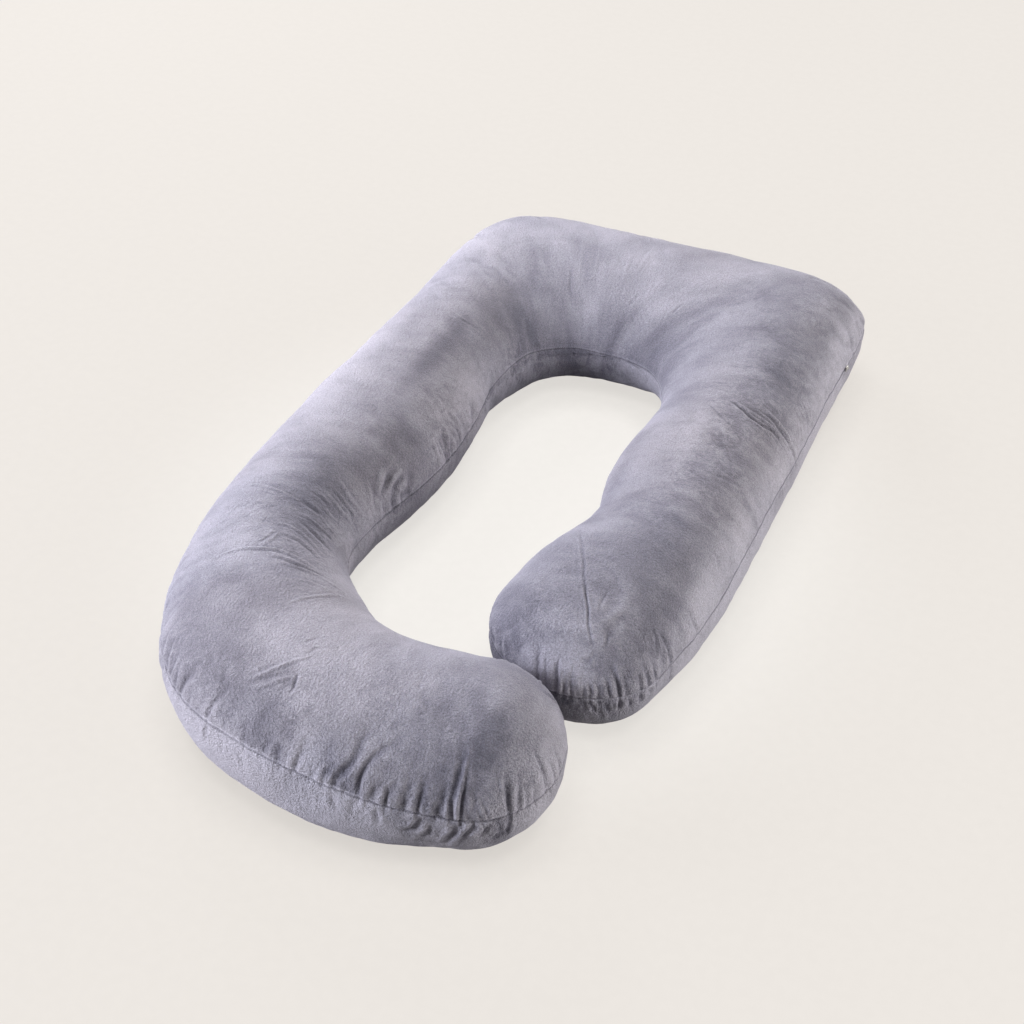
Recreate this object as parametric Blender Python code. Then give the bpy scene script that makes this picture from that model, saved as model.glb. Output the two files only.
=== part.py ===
"""A body pillow: one long tube of velvet, filled with fibre and bent into a G that a person lies
inside. A top panel and a base panel meet in a single seam half way up the side, and a zip runs in
the right-hand seam. Blender units are metres, +Z is up, +Y points to the head bar, and the origin
is the middle of the footprint, on the surface that the pillow lies on.
"""

from collections import namedtuple

import bmesh
import bpy
import numpy as np
from mathutils import Matrix, Vector
from mathutils.bvhtree import BVHTree

MM = 0.001
GAP = 0.3 * MM  # between pieces that touch

# The plan, in millimetres. A rung crosses the tube from the seam on its outer side to the seam on
# its inner side, and the rungs follow the tube from the end of the right arm, round the head bar,
# down the left arm and round the hook. crown is the height of the tube there, seam_out and seam_in
# are the heights of the seam, and foot_out and foot_in say how much of each half width lies flat on
# the floor. steps is the number of sections up to the next rung.
Rung = namedtuple(
    "Rung", "name out_x out_y in_x in_y crown seam_out seam_in foot_out foot_in steps"
)
RUNGS = [
    Rung("right arm end", 366, -326, 90, -268, 204, 108, 105, 0.22, 0.38, 4),
    Rung("right arm bulge", 386, -215, 108, -184, 210, 110, 105, 0.38, 0.38, 5),
    Rung("right waist", 395, -60, 148, -60, 204, 114, 105, 0.45, 0.38, 4),
    Rung("right belly", 395, 60, 131, 62, 206, 114, 105, 0.45, 0.38, 6),
    Rung("right neck", 395, 225, 143, 223, 204, 112, 105, 0.45, 0.38, 6),
    Rung("right shoulder", 393, 400, 124, 308, 206, 110, 105, 0.45, 0.35, 4),
    Rung("right edge", 394, 560, 97, 347, 208, 108, 105, 0.50, 0.35, 4),
    Rung("right corner", 373, 674, 70, 364, 208, 105, 105, 0.50, 0.35, 4),
    Rung("head right", 262, 710, 35, 373, 208, 105, 105, 0.50, 0.38, 5),
    Rung("head middle", 80, 711, 5, 374, 208, 105, 105, 0.45, 0.38, 5),
    Rung("head left", -110, 706, -30, 370, 208, 105, 108, 0.45, 0.38, 4),
    Rung("left corner top", -238, 702, -60, 358, 208, 105, 112, 0.45, 0.38, 4),
    Rung("left corner", -333, 658, -88, 335, 210, 105, 116, 0.45, 0.38, 4),
    Rung("left edge", -372, 545, -112, 306, 208, 105, 120, 0.45, 0.38, 4),
    Rung("left shoulder", -375, 400, -129, 268, 208, 105, 118, 0.45, 0.35, 5),
    Rung("left neck", -384, 230, -139, 200, 206, 105, 110, 0.45, 0.25, 6),
    Rung("left belly", -399, 40, -124, 50, 208, 105, 105, 0.45, 0.38, 5),
    Rung("left waist", -402, -100, -138, -105, 208, 105, 105, 0.45, 0.32, 5),
    Rung("left low", -400, -230, -157, -197, 208, 108, 105, 0.45, 0.30, 4),
    Rung("hook start", -390, -348, -158, -274, 208, 115, 105, 0.45, 0.35, 6),
    Rung("hook turn", -341, -516, -109, -348, 212, 128, 105, 0.50, 0.35, 6),
    Rung("hook heel", -235, -650, -50, -398, 214, 127, 105, 0.57, 0.60, 8),
    Rung("hook front", -82, -710, 5, -422, 214, 136, 105, 0.62, 0.60, 14),
    Rung("hook bulge", 110, -708, 96, -422, 212, 120, 105, 0.66, 0.50, 7),
    Rung("hook end", 201, -685, 158, -413, 208, 110, 105, 0.50, 0.50, 0),
]
ARM_TIP = (207, -411)  # furthest point of the right arm's round end
HOOK_TIP = (305, -530)  # furthest point of the hook's round end
ARM_TIP_STEPS = 30
HOOK_TIP_STEPS = 24
TIP_FOOT = 0.25  # share of the half width that lies flat under a round end

PLAN_MIDDLE = (-1.93, -2.71)  # middle of the footprint, in the plan's millimetres
WIDEST = 100  # height at which the tube is widest
SEAM_DEPTH = 4.0  # how far the seam draws the side in

# Rings of points between the ridge and the seam, and between the seam and the flat of the base.
RINGS_UP = np.array([1.0, 0.86, 0.73, 0.60, 0.47, 0.35, 0.24, 0.14, 0.06, 0.0])
RINGS_DOWN = np.array([0.08, 0.20, 0.36, 0.55, 0.78, 1.0])

# Folds of the cover, in the plan's millimetres. A pucker starts at the seam, also runs below it for
# drop, and fades towards its head. A crease has no drop and fades at both ends.
Fold = namedtuple("Fold", "depth width drop points")
FOLDS = [
    # Puckers along the front of the hook.
    Fold(4, 9, 20, [(-240, -642), (-243, -612)]),
    Fold(4, 9, 20, [(-214, -654), (-229, -614)]),
    Fold(6, 10, 30, [(-156, -689), (-137, -658)]),
    Fold(4, 9, 25, [(12, -714), (22, -690)]),
    Fold(7, 10, 25, [(52, -713), (80, -678), (77, -634)]),
    Fold(8, 12, 20, [(72, -712), (98, -678), (136, -626)]),
    Fold(5, 10, 25, [(112, -710), (130, -688), (141, -660)]),
    Fold(6, 10, 40, [(165, -696), (176, -668)]),
    Fold(9, 11, 35, [(214, -682), (208, -652), (198, -610)]),
    Fold(11, 11, 70, [(272, -647), (268, -632), (257, -612)]),
    Fold(5, 9, 15, [(289, -624), (268, -606)]),
    Fold(4, 10, 25, [(303, -585), (285, -582), (250, -564)]),
    # Creases that fan out from the inner side of the hook's turn.
    Fold(4, 10, 0, [(-318, -300), (-270, -296), (-222, -293), (-165, -272)]),
    Fold(4, 10, 0, [(-222, -307), (-185, -310), (-152, -320)]),
    Fold(5, 11, 0, [(-290, -464), (-227, -424), (-168, -417), (-122, -406)]),
    Fold(4, 10, 0, [(-124, -640), (-82, -622), (-34, -572)]),
    # Puckers on the inner side of the left arm.
    Fold(6, 9, 15, [(-127, 52), (-148, 34)]),
    Fold(7, 9, 20, [(-125, 6), (-142, 14)]),
    Fold(5, 9, 15, [(-148, -158), (-150, -100)]),
    Fold(5, 9, 15, [(-153, -182), (-158, -168), (-166, -122)]),
    # Folds of the right arm: across its neck, at its corner and round its end.
    Fold(6, 10, 20, [(393, 204), (365, 197), (330, 189), (268, 212)]),
    Fold(4, 10, 0, [(383, 212), (346, 214), (318, 222)]),
    Fold(5, 9, 20, [(393, 550), (372, 562)]),
    Fold(4, 9, 15, [(382, -234), (360, -226)]),
    Fold(8, 10, 60, [(372, -303), (356, -300), (336, -294)]),
    Fold(5, 9, 25, [(352, -352), (338, -336)]),
    Fold(6, 9, 30, [(322, -392), (308, -370)]),
    Fold(5, 9, 25, [(286, -410), (280, -390)]),
    Fold(6, 9, 20, [(246, -417), (236, -396)]),
]

# The zip slider sits in the right-hand seam, just below the corner.
SLIDER_AT = (393, 506)
SLIDER_PLATE = (2.6, 11.0, 8.0)  # thickness, length along the seam, width across it
BRIDGE_WIRE = 1.3
BRIDGE_SPAN = 6.6
BRIDGE_RISE = 3.2
PULL_PLATE = (1.3, 12.0, 5.0)  # thickness, length, width
PULL_EYE = (5.4, 2.2)  # length and width of the eye that one leg of the bridge passes through
PULL_BAR = 1.2  # the pull's end, between the two legs of the bridge
PULL_END = 2.1  # how far that end lies past the middle of the bridge

VELVET = (0.347, 0.332, 0.397)
NICKEL = (0.62, 0.61, 0.60)


def clear_scene():
    for thing in list(bpy.data.objects):
        bpy.data.objects.remove(thing)


def finish(name, colour, roughness, metallic):
    """A plain Principled material."""
    material = bpy.data.materials.new(name)
    material.use_nodes = True
    shader = material.node_tree.nodes["Principled BSDF"]
    shader.inputs["Base Color"].default_value = (*colour, 1.0)
    shader.inputs["Roughness"].default_value = roughness
    shader.inputs["Metallic"].default_value = metallic
    return material


def natural_spline(knots, values, at):
    """The natural cubic spline through each column of values at the knots, read at the places at."""
    gap = np.diff(knots)
    slope = np.diff(values, axis=0) / gap[:, None]
    count = len(knots)
    system = np.eye(count)
    right = np.zeros_like(values)
    for i in range(1, count - 1):
        system[i, i - 1 : i + 2] = gap[i - 1], 2 * (gap[i - 1] + gap[i]), gap[i]
        right[i] = 6 * (slope[i] - slope[i - 1])
    bend = np.linalg.solve(system, right)
    i = np.clip(np.searchsorted(knots, at, side="right") - 1, 0, count - 2)
    left, rest, h = (at - knots[i])[:, None], (knots[i + 1] - at)[:, None], gap[i][:, None]
    return (
        (bend[i] * rest**3 + bend[i + 1] * left**3) / (6 * h)
        + (values[i] / h - bend[i] * h / 6) * rest
        + (values[i + 1] / h - bend[i + 1] * h / 6) * left
    )


def stations():
    """The rungs' numbers at every section, read from smooth curves along the middle of the tube."""
    values = np.array([rung[1:10] for rung in RUNGS], float)
    middle = (values[:, 0:2] + values[:, 2:4]) / 2
    knots = np.concatenate([[0], np.cumsum(np.linalg.norm(np.diff(middle, axis=0), axis=1))])
    places = [
        knots[i] + (knots[i + 1] - knots[i]) * np.arange(RUNGS[i].steps) / RUNGS[i].steps
        for i in range(len(RUNGS) - 1)
    ]
    return natural_spline(knots, values, np.concatenate(places + [knots[-1:]]))


def round_end(start, stop, middle, tip, steps):
    """Half an ellipse of seam from start to stop, bulging to tip: their middle, plus the way to the
    tip times a cosine, plus half the way across times a sine."""
    angle = np.linspace(-np.pi / 2, np.pi / 2, steps + 2)[1:-1, None]
    return middle + (np.array(tip) - middle) * np.cos(angle) + (stop - start) / 2 * np.sin(angle)


def along(first, last, steps):
    """Numbers that ease from first to last round an end, without the two ends themselves."""
    angle = np.linspace(-np.pi / 2, np.pi / 2, steps + 2)[1:-1]
    return first + (last - first) * (np.sin(angle) + 1) / 2


def tip_share(first, last, steps):
    """The flat share of the base round an end: less at the tip than on both sides of it."""
    way = np.linspace(-1, 1, steps + 2)[1:-1]
    return TIP_FOOT + np.where(way < 0, first - TIP_FOOT, last - TIP_FOOT) * np.abs(way)


def seam_line():
    """The closed seam: the outer side, the hook's end, the inner side back again and the right
    arm's end. Each point has its place, the middle of its section, and that section's numbers."""
    s = stations()
    out, inner, crown = s[:, 0:2], s[:, 2:4], s[:, 4]
    seam_out, seam_in, foot_out, foot_in = s[:, 5:9].T
    middle = (out + inner) / 2
    hook = round_end(out[-1], inner[-1], middle[-1], HOOK_TIP, HOOK_TIP_STEPS)
    arm = round_end(inner[0], out[0], middle[0], ARM_TIP, ARM_TIP_STEPS)
    hook_seam = along(seam_out[-1], seam_in[-1], HOOK_TIP_STEPS)
    arm_seam = along(seam_in[0], seam_out[0], ARM_TIP_STEPS)
    hook_foot = tip_share(foot_out[-1], foot_in[-1], HOOK_TIP_STEPS)
    arm_foot = tip_share(foot_in[0], foot_out[0], ARM_TIP_STEPS)
    there = np.arange(len(s))
    section = np.concatenate(
        [there, np.full(HOOK_TIP_STEPS, len(s) - 1), there[::-1], np.zeros(ARM_TIP_STEPS, int)]
    )
    return {
        "place": np.concatenate([out, hook, inner[::-1], arm]),
        "section": section,
        "middle": middle[section],
        "crown": crown[section],
        "seam": np.concatenate([seam_out, hook_seam, seam_in[::-1], arm_seam]),
        "foot": np.concatenate([foot_out, hook_foot, foot_in[::-1], arm_foot]),
    }


def tube_grid(line):
    """Points of the smooth tube, one row for each seam point and one column for each ring, from the
    ridge over the seam to the flat of the base. Above the widest height a section is a quarter of
    an ellipse up to the crown. Below it, it is a quarter of an ellipse down to the flat."""
    start = np.arcsin((line["seam"] - WIDEST) / (line["crown"] - WIDEST))[:, None]
    up = start + RINGS_UP * (np.pi / 2 - start)
    down = start - RINGS_DOWN * (np.pi / 2 + start)
    angle = np.concatenate([up, down], axis=1)
    foot, crown = line["foot"][:, None], line["crown"][:, None]
    above = angle >= 0
    reach = np.where(above, np.cos(angle), foot + (1 - foot) * np.cos(angle))
    height = np.where(above, WIDEST + (crown - WIDEST) * np.sin(angle), WIDEST * (1 + np.sin(angle)))
    half = line["place"] - line["middle"]
    drawn_in = SEAM_DEPTH / np.linalg.norm(half, axis=1)
    reach[:, len(RINGS_UP) - 1] -= drawn_in
    plan = line["middle"][:, None] + half[:, None] * reach[..., None]
    return np.concatenate([plan, height[..., None]], axis=2)


def way_along(points, plan):
    """For each place in plan, its distance to the broken line through points, and how far along
    that line its nearest point is, from 0 to 1."""
    points = np.array(points, float)
    lengths = np.linalg.norm(np.diff(points, axis=0), axis=1)
    before = np.concatenate([[0], np.cumsum(lengths)])
    nearest = np.full(plan.shape[:-1], np.inf)
    share = np.zeros(plan.shape[:-1])
    for start, stop, length, done in zip(points[:-1], points[1:], lengths, before[:-1]):
        step = (stop - start) / length
        along_it = np.clip((plan - start) @ step, 0, length)
        distance = np.linalg.norm(plan - start - along_it[..., None] * step, axis=-1)
        closer = distance < nearest
        nearest = np.where(closer, distance, nearest)
        share = np.where(closer, (done + along_it) / before[-1], share)
    return nearest, share


def fold_depths(line, grid):
    """How far each point of the grid is pressed in by the folds. A fold is a soft trough, deepest on
    its line and gone two widths away. Below the seam a pucker goes straight down."""
    seam_ring = len(RINGS_UP) - 1
    plan, height = grid[..., :2], grid[..., 2]
    below = np.arange(grid.shape[1]) > seam_ring
    depth = np.zeros(height.shape)
    place = line["place"]
    tangent = np.roll(place, -1, axis=0) - np.roll(place, 1, axis=0)
    tangent /= np.linalg.norm(tangent, axis=1)[:, None]
    for fold in FOLDS:
        distance, share = way_along(fold.points, plan)
        ends = np.cos(share * np.pi / 2) if fold.drop else np.sin(share * np.pi)
        trough = fold.depth * np.exp(-((distance / fold.width) ** 2)) * ends
        depth += np.where(below, 0, trough)
        if fold.drop:
            foot = np.argmin(np.linalg.norm(place - fold.points[0], axis=1))
            aside = (plan - place[foot]) @ tangent[foot]
            near = np.linalg.norm(plan - place[foot], axis=-1) < fold.drop + 2 * fold.width
            fade = np.clip(1 - (line["seam"][:, None] - height) / fold.drop, 0, 1)
            trough = fold.depth * np.exp(-((aside / fold.width) ** 2)) * fade * near
            depth += np.where(below, trough, 0)
    return depth


def pillow(material):
    """The filled cover, one closed solid."""
    line = seam_line()
    grid = tube_grid(line)
    depth = fold_depths(line, grid)
    count, rings = depth.shape
    # Both halves of a section share its ridge, and the flat of the base closes on its middle line.
    sections = int(line["section"].max()) + 1
    index = np.arange(count * rings).reshape(count, rings)
    index[:, 0] = count * rings + line["section"]
    base_middle = count * rings + sections + line["section"]
    index = np.concatenate([index, base_middle[:, None]], axis=1)
    first = np.array([np.argmax(line["section"] == i) for i in range(sections)])
    floor = np.concatenate([line["middle"][first], np.zeros((sections, 1))], axis=1)
    points = np.concatenate([grid.reshape(-1, 3), grid[first, 0], floor])
    pressed = np.concatenate([depth.ravel(), depth[first, 0], np.zeros(sections)])
    points[:, :2] -= PLAN_MIDDLE

    mesh = bmesh.new()
    corners = [mesh.verts.new(point * MM) for point in points]
    for k in range(count):
        after = (k + 1) % count
        for j in range(rings):
            loop = [index[k, j], index[after, j], index[after, j + 1], index[k, j + 1]]
            loop = list(dict.fromkeys(loop))
            if len(loop) > 2:
                mesh.faces.new([corners[i] for i in loop])
    for spare in [corner for corner in corners if not corner.link_faces]:
        mesh.verts.remove(spare)
    bmesh.ops.recalc_face_normals(mesh, faces=mesh.faces)
    mesh.normal_update()
    kept = {corner: press for corner, press in zip(corners, pressed) if corner.is_valid}
    moves = [(corner, -corner.normal * press * MM) for corner, press in kept.items() if press > 0]
    for corner, move in moves:
        corner.co += move
        corner.co.z = max(corner.co.z, 0.0)
    return as_object("pillow", mesh, material)


def as_object(name, mesh, material):
    data = bpy.data.meshes.new(name)
    mesh.to_mesh(data)
    mesh.free()
    data.materials.append(material)
    data.shade_smooth()
    data.set_sharp_from_angle(angle=np.radians(40))
    thing = bpy.data.objects.new(name, data)
    bpy.context.scene.collection.objects.link(thing)
    return thing


def block(mesh, size, centre, bevel):
    """A bevelled block of size, in millimetres, added to the mesh."""
    made = bmesh.ops.create_cube(mesh, size=1.0)["verts"]
    bmesh.ops.scale(mesh, vec=[side * MM for side in size], verts=made)
    bmesh.ops.translate(mesh, vec=[side * MM for side in centre], verts=made)
    edges = {edge for corner in made for edge in corner.link_edges}
    bmesh.ops.bevel(mesh, geom=list(edges), offset=bevel * MM, segments=2, profile=0.5, affect="EDGES")


def cut_or_join(thing, other, operation):
    """Applies a Boolean of other to thing at build time; other only guides it."""
    other.hide_render = True
    other.hide_set(True)
    other.display_type = "WIRE"
    modifier = thing.modifiers.new(operation.lower(), "BOOLEAN")
    modifier.operation = operation
    modifier.object = other


def bridge_shape(material):
    """The slider's bridge: half a ring of flat wire that stands on the plate, along the seam."""
    mesh = bmesh.new()
    steps = 12
    half_wire = BRIDGE_WIRE / 2
    angles = np.linspace(0, np.pi, steps)
    sink = SLIDER_PLATE[0] * 0.5
    rings = []
    for angle in angles:
        ring = []
        for grow, side in ((-1, -1), (1, -1), (1, 1), (-1, 1)):
            along_seam = (BRIDGE_SPAN / 2 + grow * half_wire) * np.cos(angle)
            rise = (BRIDGE_RISE + grow * half_wire) * np.sin(angle)
            ring.append(
                mesh.verts.new((Vector((rise + SLIDER_PLATE[0], along_seam, side * half_wire))) * MM)
            )
        rings.append(ring)
    for ring in (rings[0], rings[-1]):
        legs = [mesh.verts.new(corner.co - Vector((sink * MM, 0, 0))) for corner in ring]
        rings.insert(0 if ring is rings[0] else len(rings), legs)
    for ring, after in zip(rings[:-1], rings[1:]):
        for i in range(4):
            mesh.faces.new([ring[i], ring[(i + 1) % 4], after[(i + 1) % 4], after[i]])
    mesh.faces.new(rings[0][::-1])
    mesh.faces.new(rings[-1])
    bmesh.ops.recalc_face_normals(mesh, faces=mesh.faces)
    return as_object("slider_bridge_guide", mesh, material)


def zip_slider(material):
    """The slider: a small bevelled plate with a bridge on it. Its own x points away from the
    pillow, y along the seam and z up."""
    mesh = bmesh.new()
    thickness, length, width = SLIDER_PLATE
    block(mesh, SLIDER_PLATE, (thickness / 2, 0, 0), 0.8)
    for corner in mesh.verts:  # the plate narrows towards the end that leads
        lead = (corner.co.y / MM + length / 2) / length
        corner.co.z *= 1 - 0.3 * lead
    slider = as_object("zip_slider", mesh, material)
    cut_or_join(slider, bridge_shape(material), "UNION")
    return slider


def zip_pull(material):
    """The pull: a flat tab with an eye round the bridge, lying back along the seam."""
    thickness, length, width = PULL_PLATE
    eye_length, eye_width = PULL_EYE
    rise = SLIDER_PLATE[0] + 0.3 + thickness / 2
    mesh = bmesh.new()
    block(mesh, PULL_PLATE, (rise, PULL_END - length / 2, 0), 0.35)
    pull = as_object("zip_pull", mesh, material)
    mesh = bmesh.new()
    middle = PULL_END - PULL_BAR - eye_length / 2
    block(mesh, (thickness * 3, eye_length, eye_width), (rise, middle, 0), 0.3)
    cut_or_join(pull, as_object("pull_eye_guide", mesh, material), "DIFFERENCE")
    return pull


def seat_at_seam(pieces, body):
    """Turns the pieces to the seam at SLIDER_AT and moves them out until the slider's plate is GAP
    clear of the highest point of the cover behind it."""
    line = seam_line()
    k = int(np.argmin(np.linalg.norm(line["place"] - SLIDER_AT, axis=1)))
    step = line["place"][k + 1] - line["place"][k - 1]
    step /= np.linalg.norm(step)
    place = line["place"][k] + step * ((SLIDER_AT - line["place"][k]) @ step) - PLAN_MIDDLE
    seam = Vector((step[0], step[1], 0))
    up = Vector((0, 0, 1))
    out = seam.cross(up)
    centre = Vector((place[0] * MM, place[1] * MM, line["seam"][k] * MM))
    tree = BVHTree.FromObject(body, bpy.context.evaluated_depsgraph_get())
    rays, away = 13, 0.05
    rise = []
    for y in np.linspace(-0.5, 0.5, rays) * SLIDER_PLATE[1]:
        for z in np.linspace(-0.5, 0.5, rays) * SLIDER_PLATE[2]:
            start = centre + out * away + seam * y * MM + up * z * MM
            rise.append(away - tree.ray_cast(start, -out)[3])
    origin = centre + out * (max(rise) + GAP)
    turn = Matrix((out, seam, up)).transposed().to_4x4()
    for piece in pieces:
        piece.matrix_world = Matrix.Translation(origin) @ turn


def main():
    clear_scene()
    velvet = finish("velvet", VELVET, 0.9, 0.0)
    nickel = finish("nickel", NICKEL, 0.25, 1.0)
    body = pillow(velvet)
    pieces = [zip_slider(nickel), zip_pull(nickel)]
    guides = [thing for thing in bpy.data.objects if thing.hide_render]
    seat_at_seam(pieces + guides, body)


main()
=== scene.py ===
"""A body pillow: one long tube of velvet filled with fibre and bent into a G. A top panel and a
base panel meet in one sewn seam round the side, and a zip runs down the right-hand seam.
Metres, +Z up, +Y to the head bar, origin at the middle of the footprint.
"""

from collections import namedtuple

import bpy
import numpy as np
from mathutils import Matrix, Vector


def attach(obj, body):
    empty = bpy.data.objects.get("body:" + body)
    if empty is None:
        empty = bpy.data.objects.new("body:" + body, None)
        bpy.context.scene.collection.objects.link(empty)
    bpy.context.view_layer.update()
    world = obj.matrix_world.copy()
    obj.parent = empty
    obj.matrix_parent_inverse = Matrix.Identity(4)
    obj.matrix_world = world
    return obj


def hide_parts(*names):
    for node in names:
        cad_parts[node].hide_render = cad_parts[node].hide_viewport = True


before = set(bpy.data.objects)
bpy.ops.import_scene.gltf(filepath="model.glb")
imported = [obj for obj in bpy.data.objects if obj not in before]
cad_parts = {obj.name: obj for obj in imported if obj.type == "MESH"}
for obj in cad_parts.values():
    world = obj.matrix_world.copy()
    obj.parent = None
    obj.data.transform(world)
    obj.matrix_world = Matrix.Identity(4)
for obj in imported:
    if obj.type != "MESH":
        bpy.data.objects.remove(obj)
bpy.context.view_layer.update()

MM = 0.001

# ---------------------------------------------------------------------------------------------
# The plan, in millimetres, as in the solids. A rung crosses the tube from the seam on its outer
# side to the seam on its inner side. The rungs follow the tube from the end of the right arm,
# round the head bar, down the left arm and round the hook. crown is the height of the tube,
# seam_out and seam_in the heights of the seam, foot_out and foot_in the share of each half width
# that lies flat, pucker_out and pucker_in how strongly the seam puckers the cloth, and step the
# spacing of the sections there.
Rung = namedtuple(
    "Rung",
    "out_x out_y in_x in_y crown seam_out seam_in foot_out foot_in pucker_out pucker_in step",
)
RUNGS = [Rung(*row) for row in (
    (366, -326, 90, -268, 204, 108, 105, 0.22, 0.38, 0.6, 0.5, 3.4),  # right arm's end
    (386, -215, 108, -184, 210, 110, 105, 0.38, 0.38, 0.6, 0.5, 4.2),
    (395, -60, 148, -60, 204, 114, 105, 0.45, 0.38, 0.35, 0.4, 5.0),  # right waist
    (395, 60, 131, 62, 206, 114, 105, 0.45, 0.38, 0.3, 0.4, 5.0),
    (395, 225, 143, 223, 204, 112, 105, 0.45, 0.38, 0.5, 0.4, 3.0),  # right neck
    (393, 400, 124, 308, 206, 110, 105, 0.45, 0.35, 0.3, 0.05, 4.0),
    (394, 560, 97, 347, 208, 108, 105, 0.50, 0.35, 0.7, 0.05, 3.6),
    (373, 674, 70, 364, 208, 105, 105, 0.50, 0.35, 0.9, 0.05, 2.8),  # right corner
    (262, 710, 35, 373, 208, 105, 105, 0.50, 0.38, 0.5, 0.05, 4.0),
    (80, 711, 5, 374, 208, 105, 105, 0.45, 0.38, 0.3, 0.05, 4.0),  # head bar
    (-110, 706, -30, 370, 208, 105, 108, 0.45, 0.38, 0.3, 0.05, 3.6),
    (-238, 702, -60, 358, 208, 105, 112, 0.45, 0.38, 0.6, 0.05, 3.0),
    (-333, 658, -88, 335, 210, 105, 116, 0.45, 0.38, 0.9, 0.05, 3.0),  # left corner
    (-372, 545, -112, 306, 208, 105, 120, 0.45, 0.38, 0.6, 0.05, 3.6),
    (-375, 400, -129, 268, 208, 105, 118, 0.45, 0.35, 0.5, 0.4, 4.0),
    (-384, 230, -139, 200, 206, 105, 110, 0.45, 0.25, 0.5, 0.6, 4.2),  # left neck
    (-399, 40, -124, 50, 208, 105, 105, 0.45, 0.38, 0.4, 1.0, 4.2),
    (-402, -100, -138, -105, 208, 105, 105, 0.45, 0.32, 0.4, 1.0, 4.2),
    (-400, -230, -157, -197, 208, 108, 105, 0.45, 0.30, 0.5, 0.8, 3.8),
    (-390, -348, -158, -274, 208, 115, 105, 0.45, 0.35, 0.9, 0.4, 3.2),  # hook starts
    (-341, -516, -109, -348, 212, 128, 105, 0.50, 0.35, 1.1, 0.2, 3.0),
    (-235, -650, -50, -398, 214, 127, 105, 0.57, 0.60, 1.0, 0.2, 2.8),
    (-82, -710, 5, -422, 214, 136, 105, 0.62, 0.60, 0.8, 0.2, 2.6),  # hook's front
    (110, -708, 96, -422, 212, 120, 105, 0.66, 0.50, 1.2, 0.3, 2.8),
    (201, -685, 158, -413, 208, 110, 105, 0.50, 0.50, 1.3, 0.4, 2.8),  # hook's end
)]
ARM_TIP = (207, -411)
HOOK_TIP = (305, -530)
TIP_STEP, TIP_RADIUS = 3.0, 140  # the seam's steps round an end: their length and its radius
HOOK_END_PUCKER = 0.1  # how much more the seam puckers round the hook's end
TIP_FOOT = 0.25  # the flat share of the base at the tip of an end
PLAN_MIDDLE = np.array((-1.93, -2.71))  # the plan's place that the origin has
WIDEST = 100  # the height at which the tube is widest
SEAM_DEPTH = 2.6  # how far the seam draws the side in
SEAM_LIP = 2.8  # how quickly the side swells again beside the seam
ZIP_SINKS, ZIP_EASES = 0.8, 20  # how much deeper the seam lies along the zip, after how far
TUCK, TUCK_LIP, TUCK_REACH = 9.0, 5.0, 32.0  # how the base panel goes in under the inner seam
TUCK_Y, TUCK_EASES = -230, 60  # it does so further back than this, fully so after that
ARCH_Y, ARCH_X = 255, 150  # the arch: the inner seam further back and further left than this
ZIP_ENDS = (-330, 506)  # where the zip ends on the right-hand seam, in the plan's y
ZIP_X = 300  # that seam is further right than this
UP, DOWN = 186, 160  # round a section from the seam: to the ridge, and to the flat of the base
FLAT_RINGS = 3  # across the flat of the base


def natural_spline(knots, values, at):
    """The natural cubic spline through each column of values at the knots, read at the places."""
    gap = np.diff(knots)
    slope = np.diff(values, axis=0) / gap[:, None]
    count = len(knots)
    system = np.eye(count)
    right = np.zeros_like(values)
    for i in range(1, count - 1):
        system[i, i - 1 : i + 2] = gap[i - 1], 2 * (gap[i - 1] + gap[i]), gap[i]
        right[i] = 6 * (slope[i] - slope[i - 1])
    bend = np.linalg.solve(system, right)
    i = np.clip(np.searchsorted(knots, at, side="right") - 1, 0, count - 2)
    left, rest, h = (at - knots[i])[:, None], (knots[i + 1] - at)[:, None], gap[i][:, None]
    return (
        (bend[i] * rest**3 + bend[i + 1] * left**3) / (6 * h)
        + (values[i] / h - bend[i] * h / 6) * rest
        + (values[i + 1] / h - bend[i + 1] * h / 6) * left
    )


STATION_SAMPLES = 4001


def stations(coarser):
    """The rungs' numbers at every section. Sections are spaced by step, so that their count up to
    a place is the integral of one over step."""
    values = np.array([rung[:11] for rung in RUNGS], float)
    middle = (values[:, 0:2] + values[:, 2:4]) / 2
    knots = np.concatenate([[0], np.cumsum(np.linalg.norm(np.diff(middle, axis=0), axis=1))])
    fine = np.linspace(0, knots[-1], STATION_SAMPLES)
    step = coarser * np.interp(fine, knots, [rung.step for rung in RUNGS])
    passed = np.concatenate([[0], np.cumsum(np.diff(fine) / ((step[1:] + step[:-1]) / 2))])
    wanted = np.linspace(0, passed[-1], int(round(passed[-1])) + 1)
    return natural_spline(knots, values, np.interp(wanted, passed, fine))


def round_end(start, stop, middle, tip, steps):
    """Half an ellipse of seam from start to stop, bulging to tip: their middle, plus the way to the
    tip times a cosine, plus half the way across times a sine."""
    angle = np.linspace(-np.pi / 2, np.pi / 2, steps + 2)[1:-1, None]
    return middle + (np.array(tip) - middle) * np.cos(angle) + (stop - start) / 2 * np.sin(angle)


def along(first, last, steps):
    """Numbers that ease from first to last round an end, without the two ends themselves."""
    angle = np.linspace(-np.pi / 2, np.pi / 2, steps + 2)[1:-1]
    return first + (last - first) * (np.sin(angle) + 1) / 2


def tip_share(first, last, steps):
    """The flat share of the base round an end: less at the tip than on both sides of it."""
    way = np.linspace(-1, 1, steps + 2)[1:-1]
    return TIP_FOOT + np.where(way < 0, first - TIP_FOOT, last - TIP_FOOT) * np.abs(way)


def inner_side(place):
    """Whether places of the closed seam lie on its inner side."""
    return np.arange(len(place)) > len(place) // 2


def there_is_zip(place):
    """Whether places lie on the outer side of the right arm, between the ends of the zip."""
    return (place[:, 0] > ZIP_X) & (place[:, 1] > ZIP_ENDS[0]) & (place[:, 1] < ZIP_ENDS[1])


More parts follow.
